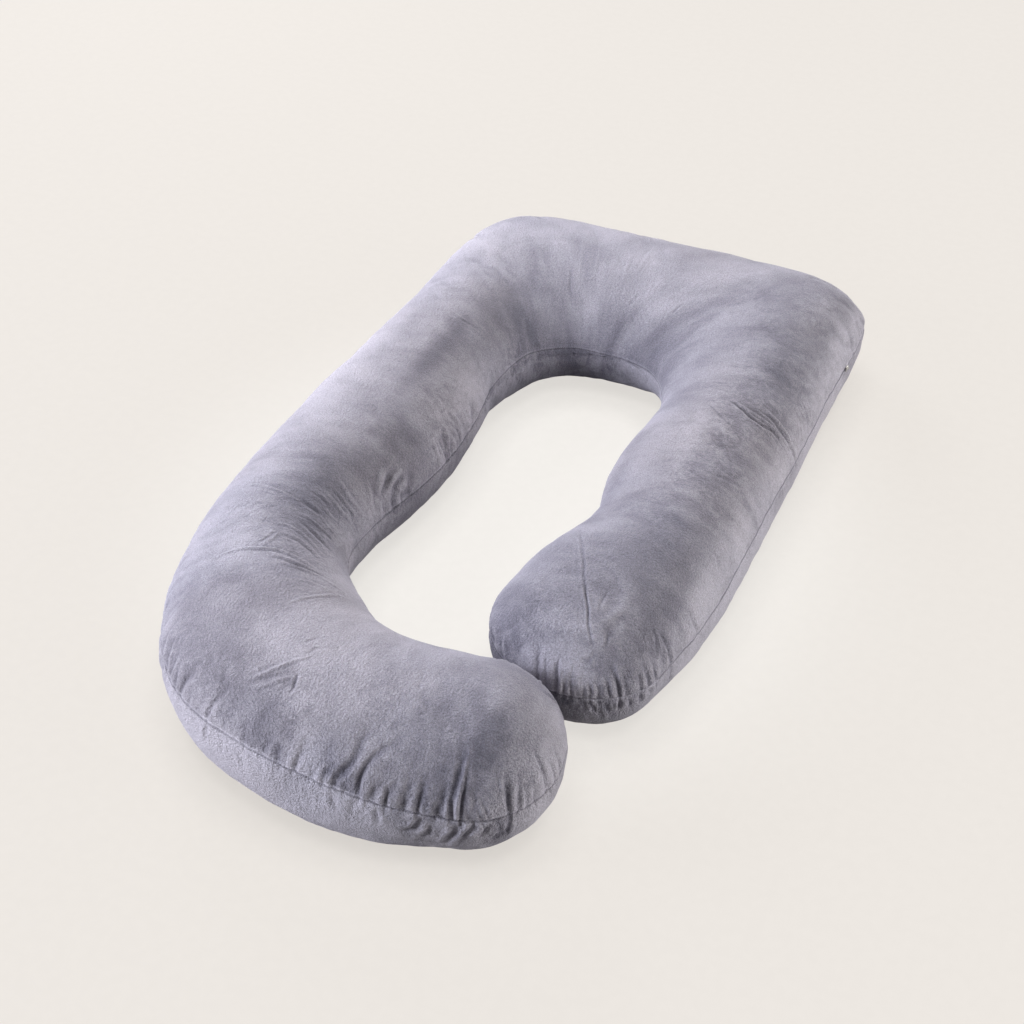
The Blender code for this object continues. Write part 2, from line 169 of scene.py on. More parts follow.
def seam_line(coarser=1.0):
    """The closed seam: the outer side, the hook's end, the inner side back again and the right
    arm's end. Each point has its place, the middle of its section, and that section's numbers."""
    s = stations(coarser)
    out, inner, crown = s[:, 0:2], s[:, 2:4], s[:, 4]
    seam_out, seam_in, foot_out, foot_in, pucker_out, pucker_in = s[:, 5:11].T
    middle = (out + inner) / 2
    steps = int(np.pi * TIP_RADIUS / (TIP_STEP * coarser))
    last, order = len(s) - 1, np.arange(len(s))

    def closed(there, hook, back, arm):
        return np.concatenate([there, hook, back[::-1], arm])

    def eased(there, back, more=0.0):
        hook = along(there[-1], back[-1], steps) + more
        return closed(there, hook, back, along(back[0], there[0], steps))

    section = closed(order, np.full(steps, last), order, np.zeros(steps, int))
    hook = round_end(out[-1], inner[-1], middle[-1], HOOK_TIP, steps)
    place = closed(out, hook, inner, round_end(inner[0], out[0], middle[0], ARM_TIP, steps))
    hook_foot = tip_share(foot_out[-1], foot_in[-1], steps)
    beside_zip = np.minimum(place[:, 1] - ZIP_ENDS[0], ZIP_ENDS[1] - place[:, 1])
    beside_zip = np.where(there_is_zip(place), np.clip(beside_zip / ZIP_EASES, 0, 1), 0)
    tucked = np.clip((place[:, 1] - TUCK_Y) / TUCK_EASES, 0, 1)
    return {
        "place": place,
        "tuck": TUCK * np.where(inner_side(place), tucked, 0),
        "groove": SEAM_DEPTH + ZIP_SINKS * beside_zip,
        "section": section,
        "middle": middle[section],
        "crown": crown[section],
        "seam": eased(seam_out, seam_in),
        "foot": closed(foot_out, hook_foot, foot_in, tip_share(foot_in[0], foot_out[0], steps)),
        "pucker": eased(pucker_out, pucker_in, HOOK_END_PUCKER),
        "sections": len(s),
    }


RING_GROWTH = 1.28  # each gap between rings by the one before


def ring_distances(first, step, last):
    """Distances from the seam to the rings of one panel, in millimetres: close together at the
    seam, each gap wider than the one before by a fixed share until it reaches step."""
    gaps = [first]
    while sum(gaps) < last:
        gaps.append(min(gaps[-1] * RING_GROWTH, step))
    distances = np.concatenate([[0], np.cumsum(gaps)])
    return distances * last / distances[-1]


def tube_grid(line, up_rings, down_rings):
    """Points of the smooth tube, one row for each seam point and one column for each ring, from the
    ridge over the seam to the flat of the base. Above the widest height a section is a quarter of
    an ellipse up to the crown. Below it, it is a quarter of an ellipse down to the flat. The seam
    draws the side in by groove, which falls off with the distance from the seam. Under the
    inner seam the base panel goes in by tuck too."""
    start = np.arcsin((line["seam"] - WIDEST) / (line["crown"] - WIDEST))[:, None]
    up = start + up_rings[::-1] / up_rings[-1] * (np.pi / 2 - start)
    down = start - down_rings[1:] / down_rings[-1] * (np.pi / 2 + start)
    angle = np.concatenate([up, down], axis=1)
    from_seam = np.concatenate([up_rings[::-1], down_rings[1:]])
    foot, crown = line["foot"][:, None], line["crown"][:, None]
    above = angle >= 0
    reach = np.where(above, np.cos(angle), foot + (1 - foot) * np.cos(angle))
    rise = np.sin(angle)
    height = np.where(above, WIDEST + (crown - WIDEST) * rise, WIDEST * (1 + rise))
    half = line["place"] - line["middle"]
    width = np.linalg.norm(half, axis=1)[:, None]
    reach -= line["groove"][:, None] * np.exp(-from_seam / SEAM_LIP) / width
    tucked = (1 - np.exp(-from_seam / TUCK_LIP)) * np.exp(-from_seam / TUCK_REACH)
    reach -= line["tuck"][:, None] * np.where(above, 0, tucked) / width
    plan = line["middle"][:, None] + half[:, None] * np.maximum(reach, 0)[..., None]
    return np.concatenate([plan - PLAN_MIDDLE, height[..., None]], axis=2)


class Cover:
    """The cover as a closed grid of quads. Both halves of a section share its ridge, and the flat
    of the base closes on the middle line. index says which point sits at each seam point and
    ring."""

    def __init__(self, line, up, down, flat_rings):
        grid = tube_grid(line, up, down)
        count = len(grid)
        section, sections = line["section"], line["sections"]
        first = np.array([np.argmax(section == i) for i in range(sections)])
        middle = np.concatenate([line["middle"] - PLAN_MIDDLE, np.zeros((count, 1))], axis=1)
        share = np.linspace(0, 1, flat_rings + 1)[1:, None]
        flat = grid[:, -1:] + (middle[:, None] - grid[:, -1:]) * share
        grid = np.concatenate([grid, flat], axis=1)
        rings = grid.shape[1]
        seam_ring = len(up) - 1
        self.flat_ring = seam_ring + len(down) - 1
        # Millimetres along the seam, and from it: plus above it, minus below it.
        step = np.linalg.norm(np.roll(line["place"], -1, axis=0) - line["place"], axis=1)
        self.along = np.concatenate([[0], np.cumsum(step)])
        gaps = np.linalg.norm(np.diff(grid, axis=1), axis=2)
        across = np.concatenate([np.zeros((count, 1)), np.cumsum(gaps, axis=1)], axis=1)
        self.across = across[:, seam_ring : seam_ring + 1] - across
        index = np.arange(count * rings).reshape(count, rings)
        index[:, 0] = count * rings + section
        index[:, -1] = count * rings + sections + section
        every = np.concatenate([grid.reshape(-1, 3), grid[first, 0], grid[first, -1]])
        used, self.index = np.unique(index, return_inverse=True)
        self.index = self.index.reshape(index.shape)
        self.points = every[used]
        self.nap = self.nap_places(line)
        self.build_faces()

    def nap_places(self, line):
        """Millimetres along the tube's middle and round it from the ridge: plus to the outer side,
        minus to the inner one. Round an end they go on as the cosine and sine of the angle that
        the seam point has turned through, times the distance from the pole, so the map has no
        joint there."""
        section, last = line["section"], line["sections"] - 1
        count = len(section)
        middle = line["middle"][[np.argmax(section == i) for i in range(last + 1)]]
        steps = np.linalg.norm(np.diff(middle, axis=0), axis=1)
        passed = np.concatenate([[0], np.cumsum(steps)])
        from_ridge = self.across[:, :1] - self.across
        angle = np.full(count, -np.pi / 2)
        hook = np.flatnonzero(section == last)
        arm = np.flatnonzero(section[last:] == 0) + last
        angle[hook] = np.linspace(-np.pi / 2, np.pi / 2, len(hook))
        angle[hook[-1] : arm[0]] = np.pi / 2
        angle[arm] = np.linspace(np.pi / 2, 3 * np.pi / 2, len(arm))
        ahead = from_ridge * np.cos(angle)[:, None]
        return passed[section][:, None] + ahead, -from_ridge * np.sin(angle)[:, None]

    def build_faces(self):
        """The faces, with triangles where a quad has two corners in one point, and their UVs."""
        count, rings = self.index.shape
        k, j = np.arange(count)[:, None], np.arange(rings - 1)[None, :]
        after = (k + 1) % count
        # The corners of a face: seam point, ring, and whether its way along is that ahead.
        corners = ((k, j, 0), (k, j + 1, 0), (after, j + 1, 1), (after, j, 1))
        quads = np.stack([self.index[a, b] for a, b, _ in corners], axis=-1).reshape(-1, 4)
        way = np.concatenate([self.along[:-1, None], self.along[1:, None]], axis=1)
        cover_map = [(way[k, ahead] + 0.0 * j, self.across[a, b]) for a, b, ahead in corners]
        nap_map = [[part[a, b] for part in self.nap] for a, b, _ in corners]
        at_ridge, at_base = quads[:, 0] == quads[:, 3], quads[:, 1] == quads[:, 2]
        kinds = (
            (~at_ridge & ~at_base, [0, 1, 2, 3]),
            (at_ridge, [0, 1, 2]),
            (at_base, [0, 2, 3]),
        )
        self.loops = np.concatenate([quads[chosen][:, kept].ravel() for chosen, kept in kinds])
        self.layers = {}
        for name, parts in (("cover", cover_map), ("nap", nap_map)):
            uv = np.stack([np.stack(part, axis=-1) for part in parts], axis=2).reshape(-1, 4, 2)
            uvs = [uv[chosen][:, kept].reshape(-1, 2) * MM for chosen, kept in kinds]
            self.layers[name] = np.concatenate(uvs)
        self.sizes = np.concatenate([np.full(chosen.sum(), len(kept)) for chosen, kept in kinds])

    def gather(self, values):
        """Values at each seam point and ring as values of the points, the mean where points are
        shared."""
        flat = self.index.ravel()
        values = np.broadcast_to(values, self.index.shape + values.shape[2:])
        columns = values.reshape(len(flat), -1)
        counts = np.bincount(flat)
        sums = [np.bincount(flat, column) / counts for column in columns.T]
        return np.stack(sums, axis=-1).reshape((-1,) + values.shape[2:])

    def chart(self):
        """Each point's millimetres along the seam and from it."""
        along = np.broadcast_to(self.along[:-1, None], self.index.shape)
        return self.gather(np.stack([along, self.across], axis=-1))

    def mesh(self, name):
        """A new mesh of the cover, in metres."""
        return mesh_of(name, self.points * MM, self.loops, self.sizes, self.layers)


def mesh_of(name, points, loops, sizes, layers=()):
    """A mesh from arrays: points in metres, the corners of all faces in one row, and the number of
    corners of each face."""
    mesh = bpy.data.meshes.new(name)
    mesh.vertices.add(len(points))
    mesh.vertices.foreach_set("co", np.asarray(points, np.float32).ravel())
    mesh.loops.add(len(loops))
    mesh.loops.foreach_set("vertex_index", np.asarray(loops, np.int32))
    mesh.polygons.add(len(sizes))
    mesh.polygons.foreach_set("loop_start", (np.cumsum(sizes) - sizes).astype(np.int32))
    mesh.polygons.foreach_set("use_smooth", np.ones(len(sizes), bool))
    mesh.update(calc_edges=True)
    for layer_name in layers:
        layer = mesh.uv_layers.new(name=layer_name)
        layer.data.foreach_set("uv", np.asarray(layers[layer_name], np.float32).ravel())
    mesh.validate()
    return mesh


def place_object(name, data, material=None):
    """An object at the origin, with a mesh, a lamp or a camera in it."""
    thing = bpy.data.objects.new(name, data)
    bpy.context.scene.collection.objects.link(thing)
    if material:
        data.materials.append(material)
    return thing


def normals_of(mesh):
    """The mesh's normals at its points."""
    normals = np.empty(len(mesh.vertices) * 3, np.float32)
    mesh.vertex_normals.foreach_get("vector", normals)
    return normals.reshape(-1, 3).astype(float)


# ---------------------------------------------------------------------------------------------
# Folds of the cover. Each row gives a fold's depth, its width, its drop and then the places x, y
# that it runs through, in the plan's millimetres. A pleat starts at the seam, runs on below it for
# drop and fades towards its head. A crease has no drop and fades at both ends. A negative depth is
# a ridge. The rows for the base panel give the way along the seam and the way from it, which is
# minus below it, instead.
Fold = namedtuple("Fold", "depth width drop points")


def folds_of(rows):
    """The rows as folds."""
    return [Fold(*row[:3], np.array(row[3:], float).reshape(-1, 2)) for row in rows]


TOP_FOLDS = folds_of([
    # The hook's front and its end.
    (4.5, 4.5, 20, -9, -718, 5, -686),
    (2.5, 4.5, 10, 16, -718, 26, -696),
    (3, 4.5, 10, 35, -717, 38, -706, 45, -700, 48, -691),
    (4, 5.5, 16, 49, -716, 54, -705, 73, -688, 75, -677, 73, -664, 77, -653, 74, -640),
    (3, 7, 10, 68, -714, 69, -703, 74, -697),
    (4.2, 4.6, 12, 89, -712, 87, -697, 90, -687, 98, -672, 112, -659, 130, -632),
    (3, 4, 10, 99, -710, 122, -686),
    (5, 4, 14, 123, -705, 125, -696, 140, -685),
    (3, 7, 10, 147, -700, 157, -670),
    (4.5, 4, 12, 166, -695, 170, -670),
    (3, 5.5, 12, 191, -688, 196, -680, 197, -672, 192, -655),
    (3.6, 5.5, 14, 209, -684, 206, -640, 201, -626, 201, -611),
    (-2.4, 3.2, 0, 217, -678, 214, -652, 211, -630),
    (5, 3.5, 16, 222, -681, 217, -661),
    (2, 5, 8, 238, -673, 229, -649),
    (4.5, 4.2, 34, 275, -642, 267, -633, 259, -617),
    (3.5, 4, 12, 283, -634, 278, -617, 271, -605),
    (2.5, 3.2, 10, 291, -620, 288, -618, 287, -612),
    (2.5, 3.2, 10, 297, -608, 293, -603),
    (4.5, 4, 14, 306, -579, 302, -584, 285, -576, 276, -568),
    (3, 3.5, 10, 307, -562, 304, -565, 292, -562),
    (3, 3.5, 10, 308, -553, 305, -545, 297, -544, 286, -535),
    (-1.8, 3.2, 0, 262, -638, 258, -630),
    (-1.5, 3, 0, 286, -631, 283, -617),
    (-1.8, 3, 0, 303, -584, 296, -584, 279, -578),
    (-1.8, 3, 0, 306, -566, 297, -566),
    (-1.6, 3, 0, 215, -672, 215, -659),
    # The hook's front on the left, and its top.
    (3, 3.4, 12, -235, -650, -235, -637, -239, -622),
    (2.5, 3.2, 10, -254, -635, -249, -623, -248, -611),
    (3.5, 4, 14, -225, -656, -216, -641, -206, -641, -204, -632),
    (2, 3.2, 10, -263, -627, -271, -609, -270, -596),
    (2.5, 4, 10, -201, -671, -198, -656, -203, -649),
    (4, 3.4, 20, -161, -689, -157, -674, -145, -660),
    (3, 3.6, 14, -88, -709, -90, -697, -94, -694),
    (3, 4, 12, -62, -713, -56, -702, -46, -695),
    (3.5, 5.5, 14, -28, -717, -38, -693),
    (-2.2, 3.4, 0, -120, -637, -105, -634, -44, -581),
    (-1.8, 3.4, 0, -105, -646, -89, -643, -59, -622, -49, -619),
    (1.4, 5, 0, -101, -637, -65, -617),
    (2.2, 3.2, 0, -48, -615, -44, -634, -48, -644),
    (1.4, 3.4, 0, -67, -568, -59, -556, -48, -546),
    (1.2, 3.4, 0, -53, -584, -46, -569, -30, -557),
    # The right arm's end, and the hook's side next to it.
    (3, 4.5, 12, 266, -451, 255, -464, 247, -476),
    (3.5, 4.5, 14, 214, -411, 208, -398, 203, -385),
    (2.5, 3.4, 10, 226, -413, 221, -403, 217, -394),
    (4.5, 3.6, 20, 241, -415, 242, -409, 235, -397),
    (3.5, 3.2, 10, 252, -414, 254, -406),
    (2.5, 3.2, 10, 263, -412, 258, -402),
    (2, 3.2, 14, 282, -409, 278, -405),
    (3, 3.2, 20, 290, -407, 290, -404, 283, -400),
    (2, 3.2, 8, 302, -402, 298, -402),
    (2.5, 3.2, 14, 315, -395, 303, -388),
    (4.4, 3.8, 30, 327, -387, 306, -377),
    (2.5, 4, 16, 337, -380, 334, -381, 324, -374),
    (3, 3.4, 16, 349, -363, 341, -359),
    (2.5, 3.8, 12, 358, -350, 352, -350, 347, -344),
    (2.5, 3.4, 10, 362, -335, 360, -336, 354, -328),
    (3.6, 3.8, 30, 372, -299, 344, -293),
    (-2.4, 3, 0, 370, -315, 361, -298, 344, -296),
    (-1.8, 3, 0, 241, -466, 211, -402),
    (-1.8, 3, 0, 247, -414, 241, -400),
    (2.1, 3, 0, 162, -143, 175, -171, 239, -307, 253, -329, 262, -350, 280, -374, 292, -390),
    (1.3, 3, 0, 264, -283, 264, -315, 269, -331),
    (1.6, 3, 0, 291, -346, 294, -367),
    (1.6, 3.4, 0, 270, -389, 280, -385, 283, -379),
    (3, 3.6, 14, 161, -413, 163, -430, 164, -446),
    (2, 3.6, 0, 125, -371, 120, -362, 112, -352),
    (3, 3.6, 14, 180, -412, 180, -434, 179, -454),
    (2, 3.6, 0, 150, -392, 143, -382, 137, -372),
    # The left arm's inner neck.
    (-3.6, 3.4, 0, -157, -170, -159, -119),
    (4, 3.4, 8, -149, -155, -155, -120),
    (-3, 3.2, 0, -152, -150, -150, -133, -152, -122),
    (3.5, 5, 10, -145, -131, -142, -114, -146, -84),
    (2.2, 4, 8, -153, -177, -166, -125),
    (-3.6, 4, 0, -142, -22, -127, -31),
    (5, 4.2, 10, -124, -8, -133, -10, -141, 2),
    (-3.6, 3.2, 0, -141, 14, -131, 11, -126, 3),
    (3, 3, 12, -125, 7, -132, 13),
    (-2.6, 3, 0, -133, 18, -124, 25),
    (-3, 3, 0, -138, 50, -129, 47, -125, 50),
    (3, 3.6, 10, -123, 39, -136, 45, -145, 41, -153, 41),
    (4, 3.2, 12, -126, 79, -125, 62, -130, 59, -141, 64),
    (-3, 3, 0, -129, 59, -123, 65, -126, 79),
    (-2.4, 3, 0, -137, 90, -129, 85),
    (1.8, 5, 0, -230, -289, -197, -288),
    (1.6, 4.4, 0, -228, -263, -213, -261, -194, -265),
    (-1.2, 3.6, 0, -200, -271, -190, -275, -179, -273),
    (-1.2, 3.6, 0, -189, -248, -177, -256),
    (1.2, 4, 0, -182, -230, -171, -242, -163, -244),
    # The left arm.
    (-2.2, 3.2, 0, -319, -297, -303, -294, -226, -291),
    (1.2, 3, 0, -290, -292, -226, -289),
    (-1.3, 3, 0, -325, -194, -281, -203),
    (-1.2, 3, 0, -345, -209, -333, -201, -318, -199),
    (-1.3, 3, 0, -315, -25, -273, -28),
    (-1.2, 3, 0, -320, -366, -312, -356, -306, -337),
    (-1.2, 3, 0, -321, -390, -310, -376, -300, -369),
    # The right arm, its corner, and the arch.
    (3.5, 4.2, 14, 394, 212, 381, 208, 363, 208, 350, 208),
    (1.1, 3, 0, 242, 200, 258, 191, 271, 188),
    (1.1, 3, 0, 229, 246, 247, 246, 279, 255),
    (-1.2, 3, 0, 377, 293, 391, 274),
    (1.4, 3.4, 0, 377, 271, 390, 253),
    (2.2, 3.4, 0, 379, 563, 387, 562, 390, 557),
    (-1.6, 3, 0, 375, 555, 385, 544, 390, 533),
    (2, 3.2, 0, 380, 604, 390, 603),
    (1.6, 3.2, 0, 377, 489, 392, 495),
    (-1.3, 3.2, 0, 367, 488, 390, 478),
    (1.2, 5, 0, 292, 21, 323, 27, 360, 39),
    (3, 3.2, 12, 385, -221, 380, -227, 361, -227),
    (-1.4, 3.2, 0, 384, -221, 377, -221, 370, -216),
    (1.5, 4.2, 0, 360, -109, 371, -111, 379, -122),
    (2, 4, 0, 337, -297, 347, -304, 356, -320),
    (1.2, 3.2, 0, -241, 244, -222, 240, -183, 245),
    (-0.7, 4, 0, -127, 560, -102, 490, -90, 445),
    (-0.6, 4, 0, -92, 570, -64, 448),
    (-0.6, 4, 0, -26, 542, -17, 493, -13, 453),
    (-0.9, 4, 0, 3, 590, 2, 485),
    (0.8, 4, 0, -115, 481, -98, 432, -83, 400),
    (0.8, 3.4, 0, 26, 458, 19, 439, 9, 422),
    (1.4, 3.2, 0, 93, 430, 103, 452),
    # Inside the hook's turn.
    (-3, 3.4, 0, -280, -462, -253, -437, -234, -426, -195, -409, -172, -406, -132, -406),
    (2.6, 4, 0, -198, -430, -182, -424, -159, -420, -123, -415),
    (-2, 3.2, 0, -188, -434, -160, -427, -132, -419, -102, -417, -75, -422),
    (-2, 3.2, 0, -240, -360, -216, -349, -195, -348, -168, -357, -145, -368),
    (1.8, 4.5, 0, -213, -377, -188, -370, -166, -375, -144, -385),
    (-2.2, 3, 0, -220, -314, -206, -310, -160, -311),
    (1.8, 4.5, 0, -209, -328, -187, -332, -152, -342),
    (-1.2, 3, 0, -149, -453, -126, -443, -73, -431),
    (-1, 4, 0, -130, -513, -117, -487, -102, -464, -85, -432),
    (1.4, 3, 0, -233, -417, -225, -400, -221, -377),
    (-1.3, 3, 0, -224, -415, -217, -395, -216, -369),
    (-1.4, 3, 0, -201, -289, -181, -296, -159, -297),
    # Across the right arm's outer half.
    (4.2, 4.2, 0, 272, 209, 297, 197, 317, 186, 338, 185, 354, 192, 382, 190),
    (-3.2, 4, 0, 295, 204, 317, 199, 341, 198, 363, 200, 389, 207),
    (2.8, 4, 0, 322, 216, 340, 215, 360, 209, 385, 209),
    (-3, 4, 0, 326, 226, 346, 222, 365, 218, 393, 215),
    (1.8, 3, 0, 248, 182, 280, 156, 301, 144, 317, 143),
    (-1.6, 3, 0, 367, 328, 381, 320, 391, 306),
    (-1.6, 3, 0, 366, 296, 385, 288, 390, 282),
    (1.6, 3.4, 0, 364, 311, 381, 304, 390, 287),
    # The inner neck again.
    (-3.2, 3.6, 0, -157, -109, -156, -130, -156, -145),
    (2.8, 4, 0, -165, -131, -162, -144, -159, -159),
    (-3, 3.4, 0, -145, -107, -147, -128, -152, -142),
    (2.4, 3.6, 0, -152, -115, -151, -134, -152, -150),
    (-1.8, 4.5, 0, -175, -135, -167, -157, -161, -180),
    (-1.8, 4.5, 0, -181, -172, -171, -184, -162, -198),
    (-1.6, 4.5, 0, -207, -210, -186, -219, -167, -220),
    (-1.6, 4, 0, -216, -246, -193, -248, -171, -250),
    (2, 4, 0, -207, -233, -185, -236, -167, -235),
    (-2.6, 3.4, 0, -142, 19, -137, 17, -129, 13),
    (2.2, 3.4, 0, -143, 8, -138, 4, -127, -5),
    (-2.4, 3.4, 0, -142, 50, -133, 53, -127, 59),
    (-2.2, 3.4, 0, -142, 74, -133, 76, -126, 80),
    (2, 3.4, 0, -143, 32, -134, 36, -128, 42),
    # The right-hand corner.
    (4, 5, 22, 394, 548, 387, 556, 370, 562),
    (3, 4.5, 18, 392, 598, 376, 601),
])
BASE_FOLDS = folds_of([
    # Below the hook's end and its front.
    (4.5, 5, 0, 3637, -13, 3634, -34, 3620, -34, 3614, -45),
    (3, 4, 0, 3612, -3, 3603, -18, 3598, -34),
    (-1.8, 3.4, 0, 3623, -10, 3606, -45),
    (-1.6, 3.4, 0, 3603, -10, 3584, -29),
    (3, 4, 0, 3592, -5, 3576, -34),
    (5, 5, 0, 3568, -5, 3563, -23, 3545, -61),
    (-1.6, 3.4, 0, 3582, -10, 3573, -23, 3563, -45),
    (5, 4.2, 0, 3519, -7, 3509, -30, 3492, -42),
    (3, 4, 0, 3532, -18, 3529, -35, 3516, -46),
    (-2, 3.6, 0, 3529, -14, 3516, -41, 3499, -63),
    (-1.6, 3.2, 0, 3379, -28, 3383, -16, 3383, -6),
    (-1.6, 3.6, 0, 3334, -55, 3353, -77),
    (1.6, 4, 0, 3353, -12, 3364, -35),
    (1.6, 5, 0, 3393, -16, 3404, -28, 3408, -40),
    (-1.4, 4, 0, 3415, -21, 3426, -39, 3433, -44),
    (1.8, 5, 0, 3454, -11, 3461, -20, 3461, -37),
    # Below the right arm's end.
    (2.5, 4, 0, 6121, -5, 6132, -28),
    (4.5, 3.6, 0, 6145, -5, 6145, -22),
    (3, 3.6, 0, 6104, -7, 6107, -10, 6112, -28),
    (2, 3.6, 0, 6093, -5, 6098, -17),
    (3.5, 3.6, 0, 6161, -7, 6161, -22),
    (3.5, 3.8, 0, 6176, -5, 6181, -22),
    (3.5, 3.8, 0, 30, -23, 34, -45),
    # Below the hook's front again, and both ends of the outer seam.
    (2.5, 3.6, 0, 3184, -1, 3184, -36),
    (-2, 4, 0, 3152, -3, 3172, -9, 3180, -23),
    (-1.8, 4, 0, 3127, -9, 3143, -17, 3168, -22),
    (1.8, 4, 0, 3111, -12, 3131, -22, 3148, -35),
    (1.6, 4, 0, 3212, -6, 3220, -17, 3220, -37),
    (-1.6, 4, 0, 3232, -13, 3247, -23, 3251, -43),
    (-1.2, 3, 0, 109, -18, 128, -18),
    (3, 3, 0, 119, -23, 128, -10),
    (2.6, 3, 0, 208, -35, 218, -14),
])
PLEATS = [fold for fold in TOP_FOLDS if fold.drop]
CREASES = [fold for fold in TOP_FOLDS if not fold.drop]
TROUGH_BANK = 0.5  # how high the cloth stands up beside a trough, as a share of its depth
RIDGE_BANK = 0.35  # how deep it goes beside a ridge
SEAM_GIVES = 0.3  # share of a pleat's depth that the seam itself has
SEAM_HOLD = 5.0  # millimetres from the seam over which a pleat reaches its depth
FOLD_REACH = 5  # widths from a fold beyond which it presses nothing
BELOW_SEAM = 0.8  # share of a pleat's width that it has below the seam
SHARP_BASE = (0.9, 0.8)  # share of its row's depth and width that a fold of the base panel has
SPLINE_LAP = 6  # seam points by which splines along the closed seam run on past its ends


def way_along(points, plan):
    """For each place in plan: its distance to the broken line through points, and how far along
    that line its nearest point is, from 0 to 1."""
    lengths = np.linalg.norm(np.diff(points, axis=0), axis=1)
    before = np.concatenate([[0], np.cumsum(lengths)])
    nearest = np.full(len(plan), np.inf)
    share = np.zeros(len(plan))
    for start, stop, length, done in zip(points[:-1], points[1:], lengths, before[:-1]):
        step = (stop - start) / length
        from_start = plan - start
        along_it = np.clip(from_start @ step, 0, length)
        distance = np.linalg.norm(from_start - along_it[:, None] * step, axis=1)
        closer = distance < nearest
        nearest = np.where(closer, distance, nearest)
        share = np.where(closer, (done + along_it) / before[-1], share)
    return nearest, share


WAVES = 14  # how many waves a noise is the sum of


def waves(places, size, seed):
    """Smooth noise from -1 to 1 or so: the sum of plane waves that point in random directions, with
    lengths round size."""
    random = np.random.default_rng(seed)
    ways = random.normal(size=(WAVES, places.shape[1]))
    ways /= np.linalg.norm(ways, axis=1)[:, None]
    lengths = size * random.uniform(0.7, 1.5, WAVES)
    phases = random.uniform(0, 2 * np.pi, WAVES)
    total = np.zeros(len(places))
    for way, length, phase in zip(ways, lengths, phases):
        total += np.sin(places @ way * (2 * np.pi / length) + phase)
    return total * np.sqrt(2 / WAVES) * 0.7


def swayed(places, size, seeds, far):
    """Places that sway a little, so that no fold runs dead straight."""
    return places + np.stack([waves(places, size, seed) for seed in seeds], axis=1) * far


def trough(distance, width, depth):
    """The profile of a fold: a bell-shaped trough, with a lower bell of cloth on each side."""
    beside = np.exp(-(((np.abs(distance) - 2.0 * width) / (0.9 * width)) ** 2))
    bank = TROUGH_BANK if depth > 0 else RIDGE_BANK
    return depth * (np.exp(-((distance / width) ** 2)) - bank * beside)


def pressed(folds, places, deep, broad):
    """How far the folds press each of the places in, at deep times their depth and broad times
    their width. A pleat widens towards its head."""
    depth = np.zeros(len(places))
    for fold in folds:
        width = fold.width * broad
        reach = FOLD_REACH * width
        low, high = fold.points.min(0) - reach, fold.points.max(0) + reach
        near = np.flatnonzero(np.all((places > low) & (places < high), axis=1))
        distance, share = way_along(fold.points, places[near])
        fade = np.cos(share * np.pi / 2) if fold.drop else np.sin(share * np.pi) ** 0.7
        width = width * (0.8 + 0.6 * share if fold.drop else 1.0)
        depth[near] += trough(distance, width, fold.depth * deep) * fade
    return depth


def fold_depths(line, cover, folds, deep, broad):
    """How far folds of the top panel press each point in, with what goes on below the seam."""
    plan = swayed(cover.points[:, :2] + PLAN_MIDDLE, 60, (5, 6), 0.4)
    across = cover.gather(cover.across)
    eased = 1 - (1 - SEAM_GIVES) * np.exp(-np.abs(across) / SEAM_HOLD)
    depth = np.where(across >= 0, pressed(folds, plan, deep, broad), 0)
    place, tangent = line["place"], tangents(line["place"])
    for fold in folds:
        if not fold.drop:
            continue
        foot = np.argmin(np.linalg.norm(place - fold.points[0], axis=1))
        width = fold.width * broad * BELOW_SEAM
        reach = np.linalg.norm(plan - place[foot], axis=1)
        under = np.flatnonzero((across < 0) & (reach < fold.drop + FOLD_REACH * width))
        aside = (plan[under] - place[foot]) @ tangent[foot]
        fade = np.clip(1 + across[under] / fold.drop, 0, 1)
        depth[under] += trough(aside, width, fold.depth * deep) * fade
    return depth * eased


def base_depths(cover):
    """How far the folds of the base panel press each point in."""
    chart = cover.chart()
    across = chart[:, 1]
    eased = 1 - np.exp(-np.abs(across) / SEAM_HOLD)
    depth = pressed(BASE_FOLDS, swayed(chart, 50, (7, 8), 1.0), *SHARP_BASE)
    return np.where(across < 0, depth, 0) * eased


def tangents(path):
    """The direction of a closed path at each of its points."""
    step = np.roll(path, -1, axis=0) - np.roll(path, 1, axis=0)
    return step / np.linalg.norm(step, axis=1)[:, None]


PUCKERS = (  # length along the seam, reach from it, depth, seed
    (46, 46, 1.5, 31),
    (24, 38, 1.3, 32),
    (13, 24, 0.8, 33),
)
PUCKER_THIN = 0.28  # the noise at which a pucker ends
PUCKER_LEAN = 0.45  # how far it leans aside for each millimetre from the seam
PUCKER_RISE = 2.5  # millimetres from the seam over which it reaches its depth


def seam_puckers(line, cover):
    """How far small puckers beside the seam press each point in. A pucker lies where smooth noise
    along the seam passes zero, leans a little, and fades with the distance from the seam. The two
    panels pucker apart from each other."""
    place, tangent = line["place"], tangents(line["place"])
    away = np.abs(cover.across)
    top = cover.across > 0
    strength = line["pucker"][:, None] * (0.75 + 0.5 * waves(place, 160, 30)[:, None])
    total = np.zeros(away.shape)
    for panel, chosen in enumerate((top, ~top)):
        for length, reach, depth, seed in PUCKERS:
            lean = waves(place, length * 4, seed + 40 + panel)[:, None] * away * PUCKER_LEAN
            at = place[:, None] + tangent[:, None] * lean[..., None]
            noise = waves(at.reshape(-1, 2), length, seed + 10 * panel).reshape(away.shape)
            pinch = np.exp(-((noise / PUCKER_THIN) ** 2)) - 0.35
            fade = (1 - np.exp(-away / PUCKER_RISE)) * np.exp(-((away / reach) ** 1.5))
            total += np.where(chosen, depth * pinch * fade, 0)
    return cover.gather(np.maximum(strength, 0) * total)


